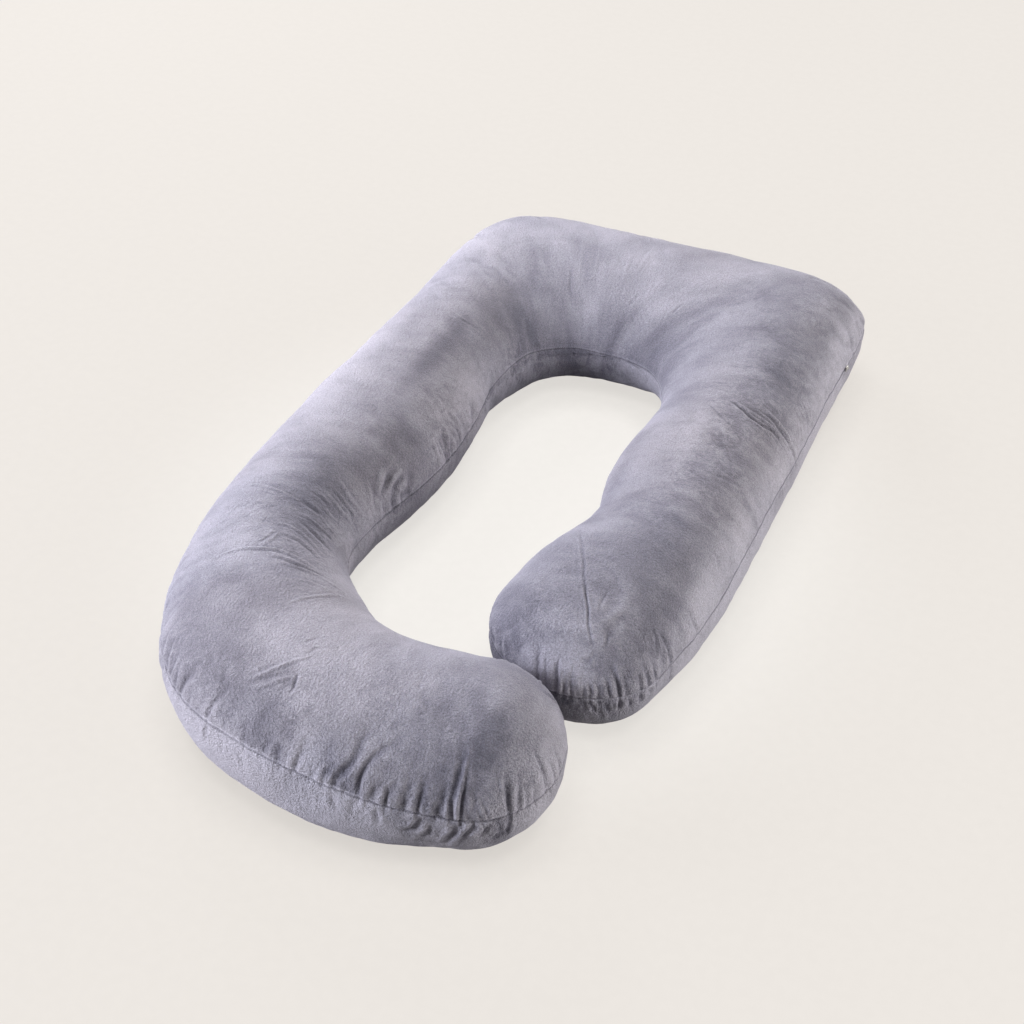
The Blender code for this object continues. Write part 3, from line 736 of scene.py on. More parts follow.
# ---------------------------------------------------------------------------------------------
# The filling. Blender's cloth blows up a coarser copy of the cover.
FILL = dict(
    coarser=1.7,  # spacing of the sections
    up=(4.5, 7.5, UP),  # the rings, as ring_distances takes them
    down=(4.5, 8.5, DOWN),
    folds=(0.4, 1.25),  # share of the pleats' depth and of their width
    puckers=0.6,
    lumps=(0.4, 38, 21),  # millimetres, size, seed
    flatter=0.70,  # the tube that its threads are cut for
    wider=0.17,
    seam_held=3.0,  # millimetres round the seam, over the floor and round a pole that stay put
    floor_held=8,
    pole_held=(65, 30),
    frames=20,
    cap=12.0,  # millimetres that a point may move
)
CLOTH = dict(
    quality=5,
    mass=0.3,
    tension_stiffness=15.0,
    compression_stiffness=15.0,
    shear_stiffness=5.0,
    bending_stiffness=0.1,
    use_pressure=True,
    uniform_pressure_force=4.0,
    pin_stiffness=1.0,
    vertex_group_mass="held",
)


def held_still(line, cover, start):
    """How firmly the filling's cloth is held at each point: at the seam, at the floor and at the
    two poles of the round ends."""
    away = np.abs(cover.gather(cover.across))
    held = np.exp(-((away / FILL["seam_held"]) ** 2))
    held = np.maximum(held, np.clip(1 - start[:, 2] / FILL["floor_held"], 0, 1))
    reach, fade = FILL["pole_held"]
    for end in (0, line["sections"] - 1):
        pole = line["middle"][np.argmax(line["section"] == end)] - PLAN_MIDDLE
        far = np.linalg.norm(start[:, :2] - pole, axis=1)
        held = np.maximum(held, np.clip((reach - far) / fade, 0, 1) * (start[:, 2] > WIDEST))
    return held


def blown_up(cloth, cut, held):
    """Where the cloth's points come to lie, in millimetres, under the pressure of the filling."""
    group = cloth.vertex_groups.new(name="held")
    for level in range(1, 11):
        chosen = np.flatnonzero(np.round(held * 10) == level)
        group.add(chosen.tolist(), level / 10, "REPLACE")
    modifier = cloth.modifiers.new("Cloth", "CLOTH")
    for name, value in CLOTH.items():
        setattr(modifier.settings, name, value)
    modifier.settings.effector_weights.gravity = 0
    modifier.settings.rest_shape_key = cut
    modifier.collision_settings.use_collision = False
    modifier.collision_settings.use_self_collision = False
    modifier.point_cache.frame_start = 1
    modifier.point_cache.frame_end = FILL["frames"]
    scene = bpy.context.scene
    for number in range(1, FILL["frames"] + 1):
        scene.frame_set(number)
    shape = cloth.evaluated_get(bpy.context.evaluated_depsgraph_get())
    settled = np.empty(len(held) * 3, np.float32)
    shape.data.vertices.foreach_get("co", settled)
    scene.frame_set(1)
    bpy.data.objects.remove(cloth)
    return settled.reshape(-1, 3).astype(float) / MM


def filled_out():
    """A coarse cover, and the move of each of its seam points and rings, in millimetres, once it
    is filled. The cloth starts as the tube with its folds, and its threads are as long as on a
    flatter and wider tube, so that there is cloth to spare along the seam, which puckers as the
    pressure pushes out."""
    line = seam_line(FILL["coarser"])
    cover = Cover(line, ring_distances(*FILL["up"]), ring_distances(*FILL["down"]), FLAT_RINGS)
    start = cover.points.copy()
    mesh = cover.mesh("filling")
    depth = fold_depths(line, cover, PLEATS, *FILL["folds"])
    depth += FILL["puckers"] * seam_puckers(line, cover)
    size, length, seed = FILL["lumps"]
    depth = depth + waves(start, length, seed) * size
    start -= normals_of(mesh) * depth[:, None]
    start[:, 2] = np.maximum(start[:, 2], 0)
    mesh.vertices.foreach_set("co", (start * MM).astype(np.float32).ravel())
    middle = cover.gather((line["middle"] - PLAN_MIDDLE)[:, None])
    relaxed = start.copy()
    relaxed[:, :2] += (start[:, :2] - middle) * FILL["wider"]
    relaxed[:, 2] = WIDEST + (start[:, 2] - WIDEST) * FILL["flatter"]
    cloth = place_object("filling", mesh)
    cloth.shape_key_add(name="as sewn")
    cut = cloth.shape_key_add(name="as cut")
    cut.data.foreach_set("co", (relaxed * MM).astype(np.float32).ravel())
    cut.value = 0.0
    move = blown_up(cloth, cut, held_still(line, cover, start)) - start
    size = np.linalg.norm(move, axis=1)
    move *= (FILL["cap"] * np.tanh(size / FILL["cap"]) / np.maximum(size, 1e-6))[:, None]
    return cover, (start + move - cover.points)[cover.index]


def spread(coarse, moves, cover):
    """Moves on the coarse cover, read at the seam points and rings of a finer one, along natural
    splines, first along the seam and then across it."""
    count, rings = moves.shape[:2]
    loop = coarse.along[-1]
    turns = np.arange(-SPLINE_LAP, count + SPLINE_LAP)
    knots = coarse.along[turns % count] + loop * (turns // count)
    here = cover.along[:-1] * loop / cover.along[-1]
    rows = natural_spline(knots, moves[turns % count].reshape(len(turns), -1), here)
    rows = rows.reshape(len(here), rings, 3).transpose(1, 0, 2).reshape(rings, -1)
    across = natural_spline(ring_shares(coarse), rows, ring_shares(cover))
    return across.reshape(-1, len(here), 3).transpose(1, 0, 2)


def ring_shares(cover):
    """The rings of a cover as numbers that all covers share: -1 at the ridge, 0 at the seam, 1
    where the base goes flat and 2 in its middle."""
    across = np.median(cover.across, axis=0)
    top, flat, last = across[0], across[cover.flat_ring], across[-1]
    below = np.where(across >= flat, across / flat, 1 + (across - flat) / (last - flat))
    return np.where(across > 0, -across / top, below)


# ---------------------------------------------------------------------------------------------
# Finishes.


class Value:
    """A node's output as a number to reckon with: each operator adds the Math node for it."""

    def __init__(self, graph, socket):
        self.graph, self.socket = graph, socket

    def __add__(self, other):
        return self.graph.math("ADD", self, other)

    def __sub__(self, other):
        return self.graph.math("SUBTRACT", self, other)

    def __mul__(self, other):
        return self.graph.math("MULTIPLY", self, other)

    def __pow__(self, other):
        return self.graph.math("POWER", self, other)

    def __abs__(self):
        return self.graph.math("ABSOLUTE", self)


class Graph:
    """A node tree under construction. Inputs take values, which are linked, or plain numbers."""

    def __init__(self, tree):
        self.tree = tree

    def fill(self, node, inputs):
        """Links or sets a node's inputs, by name or number."""
        for name, value in dict(inputs).items():
            if isinstance(value, Value):
                self.tree.links.new(value.socket, node.inputs[name])
            else:
                node.inputs[name].default_value = value

    def node(self, kind, inputs=(), **settings):
        made = self.tree.nodes.new("ShaderNode" + kind)
        for name, value in settings.items():
            setattr(made, name, value)
        self.fill(made, inputs)
        return made

    def read(self, kind, output, inputs=(), **settings):
        """The value that a new node puts out."""
        return Value(self, self.node(kind, inputs, **settings).outputs[output])

    def math(self, operation, first, second=0.0):
        return self.read("Math", 0, {0: first, 1: second}, operation=operation)

    def noise(self, vector, scale, detail=2.0, roughness=0.5, distortion=0.0):
        inputs = {"Vector": vector, "Scale": scale, "Detail": detail, "Roughness": roughness}
        return self.read("TexNoise", "Fac", {**inputs, "Distortion": distortion})

    def between(self, value, low, high, to_low=0.0, to_high=1.0):
        """Value mapped from low..high to to_low..to_high, smoothly and without going past."""
        inputs = {"Value": value, "From Min": low, "From Max": high}
        inputs.update({"To Min": to_low, "To Max": to_high})
        return self.read("MapRange", "Result", inputs, interpolation_type="SMOOTHSTEP")

    def stretched(self, vector, x, y, z=1.0):
        return self.read("Mapping", "Vector", {"Vector": vector, "Scale": (x, y, z)})

    def mixed(self, factor, first, second, blend="MIX"):
        inputs = {0: factor, 6: first, 7: second}
        return self.read("Mix", 2, inputs, data_type="RGBA", blend_type=blend)

    def shaded(self, colour, shade):
        """The colour times a grey."""
        grey = self.read("CombineColor", 0, {0: shade, 1: shade, 2: shade})
        return self.mixed(1.0, colour, grey, "MULTIPLY")

    def attribute(self, name):
        return self.read("Attribute", "Fac", attribute_name=name)

    def bump(self, strength, distance, height):
        inputs = {"Strength": strength, "Distance": distance, "Height": height}
        return self.read("Bump", "Normal", inputs)

    def group(self, tree, inputs, *outputs):
        """The values that a node group puts out."""
        made = self.node("Group", inputs, node_tree=tree)
        return [Value(self, made.outputs[name]) for name in outputs]


def new_group(name, inputs, outputs):
    """An empty node group whose inputs are given as name and kind and whose outputs are numbers:
    its graph, and the values that come in."""
    tree = bpy.data.node_groups.new(name, "ShaderNodeTree")
    for each, kind in inputs:
        tree.interface.new_socket(each, in_out="INPUT", socket_type="NodeSocket" + kind)
    for each in outputs:
        tree.interface.new_socket(each, in_out="OUTPUT", socket_type="NodeSocketFloat")
    graph, given = Graph(tree), tree.nodes.new("NodeGroupInput")
    return graph, [Value(graph, given.outputs[each]) for each, _ in inputs]


def put_out(graph, **values):
    """Ends a node group's graph, and returns the group."""
    graph.fill(graph.tree.nodes.new("NodeGroupOutput"), values)
    return graph.tree


def brushed_pile_group():
    """Short pile, brushed this way and that. Nap is 0 where the pile leans away and looks dark and
    1 where it lies towards the light. Grain is the fine speckle of the tufts. Height is for a
    bump. Crumple says how much of a place is crumpled: there the nap breaks up into mottles and
    thin crinkles. Elsewhere it lies in soft streaks across the tube."""
    given = (("Nap Vector", "Vector"), ("Place Vector", "Vector"), ("Crumple", "Float"))
    graph, (nap, place, crumple) = new_group("brushed pile", given, ("Nap", "Grain", "Height"))
    sway = graph.read("TexNoise", "Color", {"Vector": place, "Scale": 9.0})
    sway = graph.read("VectorMath", 0, {0: sway, "Scale": 0.05}, operation="SCALE")
    bent = graph.read("VectorMath", 0, {0: nap, 1: sway}, operation="ADD")
    broad = graph.noise(graph.stretched(bent, 9.0, 6.5), 1.0, 2.0, 0.5, 0.3)
    streaks = graph.noise(graph.stretched(bent, 52.0, 15.0), 1.0, 3.0, 0.55, 0.5)
    mottle = graph.between(graph.noise(place, 62.0, 3.0, 0.6, 1.2), 0.36, 0.64)
    lines = graph.noise(graph.stretched(bent, 150.0, 75.0), 1.0, 2.0, 0.5, 0.8)
    crinkle = graph.between(abs(lines - 0.5), 0.0, 0.045, 1.0, 0.0) * (crumple * 0.85 + 0.15)
    mix = (broad - 0.5) * 0.42 + (streaks - 0.5) * (crumple * 0.20 + 0.09)
    mix = mix + (mottle - 0.5) * (crumple * 0.12)
    # The crinkles' thin lines are painted darker too: painted shade in these fine creases.
    leaning = graph.between(mix, -0.2, 0.2) - crinkle * 0.10
    speckle = graph.noise(place, 520.0, 3.0, 0.75)
    tufts = graph.noise(place, 1100.0, 1.0, 0.5)
    grain = graph.between(speckle * 0.5 + tufts * 0.5, 0.32, 0.68)
    pebble = graph.between(graph.noise(place, 310.0, 2.0, 0.6, 0.2), 0.3, 0.7)
    height = grain * 0.12 + pebble + crinkle * -0.25 + streaks * 0.5 + mottle * crumple * 0.3
    return put_out(graph, Nap=leaning, Grain=grain, Height=height)


def spun_thread_group():
    """Spun fibre: Tone varies from place to place along a thread, and Height is its fine fuzz."""
    graph, (place,) = new_group("spun thread", (("Place Vector", "Vector"),), ("Tone", "Height"))
    fuzz = graph.noise(place, 2600.0, 2.0, 0.6)
    drift = graph.noise(place, 40.0, 2.0)
    return put_out(graph, Tone=graph.between(fuzz * 0.5 + drift * 0.5, 0.3, 0.7), Height=fuzz)


# Soft patches of a panel: plan place, radii along and across, turn in degrees, and strength. panel
# is 1 for the top panel, -1 for the base panel.
Patch = namedtuple("Patch", "x y long wide turn shade panel")


def patches(panel, *rows):
    """The rows as patches of one panel."""
    return [Patch(*row, panel) for row in rows]


# Patches where the nap is painted lighter (+) or darker (-): partly the pile brushed this way and
# that, partly painted light and painted shade.
NAP_AND_PAINTED_LIGHT = patches(
    1,
    (225, -610, 60, 30, 90, -0.66), (380, -200, 100, 20, 90, 0.90),
    (310, -180, 180, 60, 120, -0.37), (-180, -345, 120, 50, 120, -0.50),
    (300, -560, 120, 50, 90, 0.41), (-215, 125, 100, 20, 90, -0.75),
    (135, 310, 180, 60, 0, -0.17), (385, 540, 100, 20, 90, 0.75),
    (140, -290, 180, 60, 90, -0.35), (-35, 545, 180, 60, 150, 0.32),
    (-105, -580, 60, 30, 150, 0.56), (5, -705, 40, 22, 90, 0.71),
    (-125, 310, 120, 50, 0, -0.48), (-295, -415, 90, 40, 150, 0.47),
    (-345, 70, 180, 60, 90, 0.48), (-145, 125, 100, 20, 90, 0.53),
    (235, -410, 60, 16, 0, 0.41), (395, 160, 100, 20, 90, 0.73),
    (325, 250, 180, 60, 90, -0.30), (390, -35, 40, 22, 90, 0.67),
    (245, -455, 60, 16, 0, -0.80), (-265, -550, 90, 40, 150, -0.36),
    (-195, -195, 120, 50, 30, -0.24), (-80, -695, 60, 16, 60, -0.46),
    (-160, -680, 60, 16, 150, 0.46), (-160, -275, 60, 30, 90, 0.43),
    (-310, 420, 120, 50, 90, 0.33), (275, 500, 90, 40, 120, -0.32),
    (120, 320, 60, 30, 60, -0.57), (180, -675, 60, 16, 60, -0.30),
    (165, -35, 100, 20, 90, -0.46), (340, -305, 40, 22, 90, -0.34),
    (35, 440, 60, 30, 0, 0.28), (255, 110, 100, 20, 90, 0.29),
    (390, 345, 100, 20, 90, 0.38), (330, 50, 40, 22, 90, -0.35),
    (50, -500, 100, 20, 90, 0.32), (260, -380, 40, 22, 90, 0.28),
    (-270, -340, 100, 20, 30, 0.29), (-140, -65, 40, 22, 90, -0.27),
    (74, -702, 24, 18, 0, -0.45), (222, -164, 40, 40, 0, -0.20),
    (222, -675, 30, 20, 0, -0.20), (-115, 450, 45, 32, 120, -0.20),
    (256, -63, 45, 32, 0, 0.20), (258, -561, 45, 40, 0, -0.18),
    (-91, 387, 40, 25, 0, 0.20), (308, -151, 45, 35, 0, -0.18),
    (100, -323, 40, 40, 0, -0.18), (305, -388, 35, 22, 20, -0.20),
    (216, 346, 40, 40, 0, 0.18), (340, 259, 60, 32, 90, -0.20),
    (-158, -151, 40, 25, 90, 0.18), (355, 640, 40, 30, 0, 0.20),
    (333, 410, 45, 32, 90, -0.18), (309, 15, 45, 32, 0, -0.18),
    (350, -140, 45, 28, 90, 0.18), (-239, 76, 45, 32, 90, -0.18),
    (-62, -618, 50, 35, 0, 0.18), (-279, -290, 45, 32, 60, -0.16),
    (52, 402, 40, 25, 0, -0.16),
) + patches(
    -1,
    (-130, -690, 180, 60, 0, 0.90), (85, 365, 100, 20, 120, 0.59),
    (-90, 340, 100, 20, 30, -0.41), (265, -645, 60, 16, 120, -0.68),
    (-140, -90, 90, 40, 120, -0.46), (65, -715, 60, 16, 30, 0.30),
    (295, -610, 60, 16, 90, 0.53), (-160, -280, 100, 20, 120, 0.60),
    (120, -360, 180, 60, 0, -0.47), (-240, -640, 120, 50, 60, 0.43),
    (215, -675, 60, 16, 90, -0.26), (75, 370, 100, 20, 150, 0.27),
    (-140, 180, 180, 60, 30, 0.12), (-135, 20, 150, 40, 90, -0.15),
    (392, -60, 180, 60, 90, 0.68), (392, 380, 200, 60, 90, 0.62),
    (382, -235, 60, 40, 100, 0.62), (65, -706, 40, 20, 0, 0.25),
    (-105, -698, 50, 25, 0, 0.45), (159, -693, 35, 25, 0, -0.20),
    (244, -413, 35, 25, 0, -0.55),
)
# Where the cloth is crumpled.
CRUMPLED = patches(
    1,
    (330, 330, 230, 60, 90, 0.45),  # right arm's outer half
    (300, 40, 200, 60, 90, 0.45),
    (-150, 60, 170, 45, 80, 0.40),  # inner neck
    (-190, -330, 130, 90, 60, 0.30),  # inside of the hook's turn
    (0, -640, 190, 60, 0, 0.35),
    (250, -640, 60, 60, 0, 0.35),
    (250, -370, 130, 60, 0, 0.40),
)
CRUMPLE_TOP, CRUMPLE_BASE, CRUMPLE_SEAM, SEAM_REACH = 0.15, 0.60, 0.45, 40.0
CALM_ARCH = dict(half_width=130, share=0.4)  # the head bar above the arch is smoother
UNEVEN = dict(share=0.35, size=90, seed=57)
PANEL_EDGE = 2.5  # millimetres over which a patch ends at the seam


def laid_over(several, plan, across):
    """The sum of the patches' bells at each point of their own panel."""
    total = np.zeros(len(plan))
    for patch in several:
        turn = np.radians(patch.turn)
        ahead = (plan - (patch.x, patch.y)) @ (np.cos(turn), np.sin(turn))
        aside = (plan - (patch.x, patch.y)) @ (-np.sin(turn), np.cos(turn))
        bell = patch.shade * np.exp(-((ahead / patch.long) ** 2) - (aside / patch.wide) ** 2)
        total += bell / (1 + np.exp(-patch.panel * across / PANEL_EDGE))
    return total


def crumpled(plan, across):
    """How crumpled each point is, from 0 to 1: the base panel most, then beside the seam."""
    mask = CRUMPLE_TOP + CRUMPLE_SEAM * np.exp(-((across / SEAM_REACH) ** 2))
    at_arch = (plan[:, 1] > ARCH_Y) & (np.abs(plan[:, 0]) < CALM_ARCH["half_width"])
    mask = mask * np.where(at_arch, CALM_ARCH["share"], 1)
    mask = np.where(across < 0, CRUMPLE_BASE, mask) + laid_over(CRUMPLED, plan, across)
    return np.clip(mask * (1 + UNEVEN["share"] * waves(plan, UNEVEN["size"], UNEVEN["seed"])), 0, 1)


# Where fine folds fan out across the tube.
FANNED = patches(
    1,
    (-230, -280, 130, 100, 60, 1.0),
    (-320, -120, 120, 50, 90, 0.5),
    (-170, 30, 130, 45, 90, 0.7),
    (-330, 420, 150, 45, 90, 0.6),
    (0, 460, 170, 80, 0, 0.3),
    (350, 200, 190, 50, 90, 0.8),
    (300, -600, 80, 60, 90, 0.8),
)
FAN = dict(height=0.55, apart=17, long=0.09, thin=0.24, seed=58)


def fans(cover, plan, across):
    """How far fine folds across the tube raise each point: thin ridges where smooth noise, drawn
    out long across the tube, passes zero."""
    nap = cover.gather(np.stack(cover.nap, axis=-1))
    noise = waves(nap * (1, FAN["long"]), FAN["apart"], FAN["seed"])
    ridges = np.exp(-((noise / FAN["thin"]) ** 2)) - 0.4
    return FAN["height"] * ridges * laid_over(FANNED, plan, across)


def new_material(name):
    """A material, its graph and its shader."""
    material = bpy.data.materials.new(name)
    material.use_nodes = True
    return material, Graph(material.node_tree), material.node_tree.nodes["Principled BSDF"]


def velvet_finish(pile):
    """Grey-violet crystal velvet: dark and light nap, partly painted light and shade, a speckle of
    tufts, folds painted paler where they stand out and darker where they sink in, painted shade in
    a line at the seam and a painted highlight just above it, and a painted pale lavender sheen
    where the surface turns away."""
    material, graph, shader = new_material("grey violet velvet")
    where = graph.read("TexCoord", "Object")
    given = {
        "Nap Vector": graph.read("UVMap", "UV", uv_map="nap"),
        "Place Vector": where,
        "Crumple": graph.attribute("crumpled"),
    }
    nap, grain, height = graph.group(pile, given, "Nap", "Grain", "Height")
    # Painted light on the folds: the nap paler where they stand out and darker where they sink in.
    nap = nap + graph.attribute("fold_painted_light") * 0.24 + graph.attribute("nap_and_painted_light")
    nap = graph.between(nap, -0.3, 1.3)
    tint = graph.between(graph.noise(where, 3.2, 2.0), 0.4, 0.6)
    dark = graph.mixed(tint, (0.177, 0.167, 0.196, 1), (0.170, 0.165, 0.202, 1))
    light = graph.mixed(tint, (0.546, 0.517, 0.567, 1), (0.536, 0.515, 0.578, 1))
    speckle = graph.between(grain, 0.0, 1.0, 0.69, 1.29)
    colour = graph.shaded(graph.mixed(nap, dark, light), speckle)
    # Painted shade in the seam's groove just below the seam, and a painted highlight on the edge
    # just above it, as strong as the seam's painted light says.
    across = graph.read("SeparateXYZ", "Y", {0: graph.read("UVMap", "UV", uv_map="cover")})
    seam_painted_shade = graph.between(abs(across + 0.0012), 0.0008, 0.0024, 0.66, 1.0)
    painted_lip_highlight = graph.between(abs(across - 0.0026), 0.0008, 0.0024, 1.24, 1.0)
    colour = graph.shaded(colour, (seam_painted_shade * painted_lip_highlight - 1.0) * graph.attribute("seam_painted_light") + 1.0)
    # Painted sheen: the base colour turns towards pale lavender where the surface turns away.
    painted_sheen_facing = graph.read("LayerWeight", "Facing", {"Blend": 0.35})
    graph.fill(shader, {
        "Base Color": graph.mixed(painted_sheen_facing**1.8 * 0.45, colour, (0.57, 0.55, 0.645, 1)),
        "Roughness": graph.between(grain, 0.0, 1.0, 0.95, 0.80),
        "Normal": graph.bump(0.7, 0.0022, height),
        "Sheen Weight": 0.22,
        "Sheen Roughness": 0.35,
        "Sheen Tint": (0.92, 0.90, 1.0, 1),
        "Specular IOR Level": 0.15,
    })
    return material


def spun_finish(name, spun, dark, light, roughness):
    """A matt finish of spun fibre, between two tones."""
    material, graph, shader = new_material(name)
    given = {"Place Vector": graph.read("TexCoord", "Object")}
    tone, height = graph.group(spun, given, "Tone", "Height")
    graph.fill(shader, {
        "Base Color": graph.mixed(tone, dark, light),
        "Normal": graph.bump(0.4, 0.0002, height),
        "Roughness": roughness,
    })
    return material


def nickel_finish():
    """Bright nickel: fine brush lines along the slider, and clouding where fingers hold it."""
    material, graph, shader = new_material("bright nickel")
    where = graph.read("TexCoord", "Object")
    brushing = graph.noise(graph.stretched(where, 9000.0, 700.0, 9000.0), 1.0, 2.0, 0.6)
    clouds = graph.noise(where, 420.0, 3.0, 0.6)
    pale = graph.between(clouds, 0.35, 0.65)
    graph.fill(shader, {
        "Base Color": graph.mixed(pale, (0.56, 0.55, 0.54, 1), (0.66, 0.65, 0.63, 1)),
        "Roughness": brushing * 0.14 + clouds * 0.18 + 0.12,
        "Normal": graph.bump(0.15, 0.0001, brushing),
        "Metallic": 1,
    })
    return material


# ---------------------------------------------------------------------------------------------
# Sewing and the zip.

STITCH = dict(length=2.6, pitch=3.4, radius=0.32, sides=5, above=0.7)
CAPSULE = np.array([(-0.5, 0.45), (-0.36, 0.95), (0.36, 0.95), (0.5, 0.45)])  # along, of radius
TOP_STITCH_AT = 6.0  # the row above the seam along the arch, in millimetres from it
SHORTEST_RUN = 4  # seam points
COIL = dict(radius=1.25, pitch=1.7, thick=0.42, steps=8, sides=4, above=0.4)
BAR_TACKS, BAR_GAP = 8, 0.8


def frames_along(path, normals):
    """Directions along a path, away from the cloth and across both, at each of its points."""
    ahead = np.gradient(path, axis=0)
    ahead /= np.linalg.norm(ahead, axis=1)[:, None]
    away = normals - np.sum(normals * ahead, axis=1)[:, None] * ahead
    away /= np.linalg.norm(away, axis=1)[:, None]
    return ahead, away, np.cross(ahead, away)


def evenly(path, normals, pitch):
    """The path and its normals read every pitch millimetres, with the frames there."""
    passed = np.concatenate([[0], np.cumsum(np.linalg.norm(np.diff(path, axis=0), axis=1))])
    at = np.arange(pitch / 2, passed[-1], pitch)
    place = np.stack([np.interp(at, passed, column) for column in path.T], axis=1)
    normal = np.stack([np.interp(at, passed, column) for column in normals.T], axis=1)
    return (place,) + frames_along(place, normal)


def tube_faces(rings, sides):
    """The corners and sizes of a tube's faces: quads from ring to ring, and a cap at each end."""
    j, i = np.arange(rings - 1)[:, None] * sides, np.arange(sides)[None, :]
    after = (i + 1) % sides
    quads = np.stack([j + i, j + after, j + sides + after, j + sides + i], axis=-1)
    caps = [np.arange(sides)[::-1], (rings - 1) * sides + np.arange(sides)]
    sizes = np.concatenate([np.full(quads.size // 4, 4), [sides, sides]])
    return np.concatenate([quads.ravel(), *caps]), sizes


def stitches(place, ahead, away, aside):
    """Points and faces of one stitch at each place: a capsule of a few rings round its own middle,
    which lies ahead and dips into the cloth at both ends."""
    sides, radius = STITCH["sides"], STITCH["radius"]
    turn = np.arange(sides) * 2 * np.pi / sides
    share, wide = CAPSULE.T[..., None]
    length = share * STITCH["length"] + 0 * turn
    out = wide * np.sin(turn) * radius - (2 * share) ** 2 * radius
    over = wide * np.cos(turn) * radius
    parts = zip((length, out, over), (ahead, away, aside))
    offset = sum(part.ravel()[None, :, None] * way[:, None] for part, way in parts)
    points = (place[:, None] + offset).reshape(-1, 3)
    loops, sizes = tube_faces(len(share), sides)
    start = np.arange(len(place))[:, None] * len(share) * sides
    return points, (loops + start).ravel(), np.tile(sizes, len(place))


def joined(name, parts):
    """One mesh of several sets of points, loops and sizes."""
    starts = np.cumsum([0] + [len(points) for points, _, _ in parts])
    loops = np.concatenate([part[1] + start for part, start in zip(parts, starts)])
    points = np.concatenate([part[0] for part in parts])
    return mesh_of(name, points * MM, loops, np.concatenate([part[2] for part in parts]))


def row_at(cover, points, away):
    """The points of the cover at a distance from the seam, read between its rings."""
    grid, across = points[cover.index], cover.across
    ring = np.clip(np.sum(across > away, axis=1), 1, across.shape[1] - 1)
    k = np.arange(len(grid))
    above, below = across[k, ring - 1], across[k, ring]
    share = ((above - away) / (above - below))[:, None]
    return grid[k, ring - 1] * (1 - share) + grid[k, ring] * share


def runs(chosen):
    """The runs of true values in a closed row, each as the numbers of its members in order."""
    count = len(chosen)
    if chosen.all():
        return [np.arange(count + 1) % count]
    first = np.argmin(chosen)
    order = (np.arange(count) + first) % count
    edges = np.flatnonzero(np.diff(np.concatenate([[0], chosen[order].astype(int), [0]])))
    return [order[start:stop] for start, stop in edges.reshape(-1, 2)]


def sewing(line, cover, points, normals, material):
    """The stitches: one row in the seam, except along the zip, a row above it along the arch, and
    a short bar across the zip's end."""
    place = line["place"]
    on_zip = there_is_zip(place)
    on_arch = inner_side(place) & (place[:, 1] > ARCH_Y) & (place[:, 0] < ARCH_X)
    rows = [(0.0, run) for run in runs(~on_zip)] + [(TOP_STITCH_AT, run) for run in runs(on_arch)]
    parts = []
    for away, run in rows:
        if len(run) < SHORTEST_RUN:
            continue
        path, out = row_at(cover, points, away)[run], row_at(cover, normals, away)[run]
        spot, ahead, up, aside = evenly(path, out, STITCH["pitch"])
        height = STITCH["above"] if away == 0 else 0.0
        parts.append(stitches(spot + up * height, ahead, up, aside))
    end = runs(on_zip)[0][:3]
    path, out = row_at(cover, points, 0.0)[end], row_at(cover, normals, 0.0)[end]
    ahead, up, aside = frames_along(path, out)
    step = (np.arange(BAR_TACKS) - BAR_TACKS / 2)[:, None] * BAR_GAP
    bar = path[:1] + up[:1] * (STITCH["above"] + ZIP_SINKS * 0.5) + ahead[:1] * step
    ways = [np.repeat(way[:1], BAR_TACKS, axis=0) for way in (aside, up, -ahead)]
    parts.append(stitches(bar, *ways))
    thing = place_object("pillow_stitches", joined("pillow_stitches", parts), material)
    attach(thing, "root")


def zip_coil(line, cover, points, normals, material):
    """The zip's coil: a round wire carried along a helix that lies in the seam."""
    run = runs(there_is_zip(line["place"]))[0]
    path, out = row_at(cover, points, 0.0)[run], row_at(cover, normals, 0.0)[run]
    spot, ahead, up, aside = evenly(path, out, COIL["pitch"] / COIL["steps"])
    turn = (np.arange(len(spot)) * 2 * np.pi / COIL["steps"])[:, None]
    outward = up * np.sin(turn) + aside * np.cos(turn)
    wire = spot + up * COIL["above"] + outward * COIL["radius"]
    skew = ahead * 0.9 - np.cross(ahead, outward) * 0.4
    angle = (np.arange(COIL["sides"]) * 2 * np.pi / COIL["sides"])[None, :, None]
    round_wire = np.cos(angle) * outward[:, None] + np.sin(angle) * skew[:, None]
    rings = (wire[:, None] + COIL["thick"] * round_wire).reshape(-1, 3)
    mesh = mesh_of("zip_coil", rings * MM, *tube_faces(len(spot), COIL["sides"]))
    thing = place_object("zip_coil", mesh, material)
    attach(thing, "root")


# ---------------------------------------------------------------------------------------------
# The pillow.


def smoothed(values, times):
    """Values on the seam points and rings, averaged 1 2 1 along the closed seam and across it, so
    many times."""
    for _ in range(times):
        values = (np.roll(values, 1, axis=0) + 2 * values + np.roll(values, -1, axis=0)) / 4
        edged = np.concatenate([values[:, :1], values, values[:, -1:]], axis=1)
        values = (edged[:, :-2] + 2 * values + edged[:, 2:]) / 4
    return values


def add_values(mesh, name, values):
    """Values of the mesh's points, for materials to read."""
    layer = mesh.attributes.new(name, "FLOAT", "POINT")
    layer.data.foreach_set("value", np.asarray(values, np.float32))


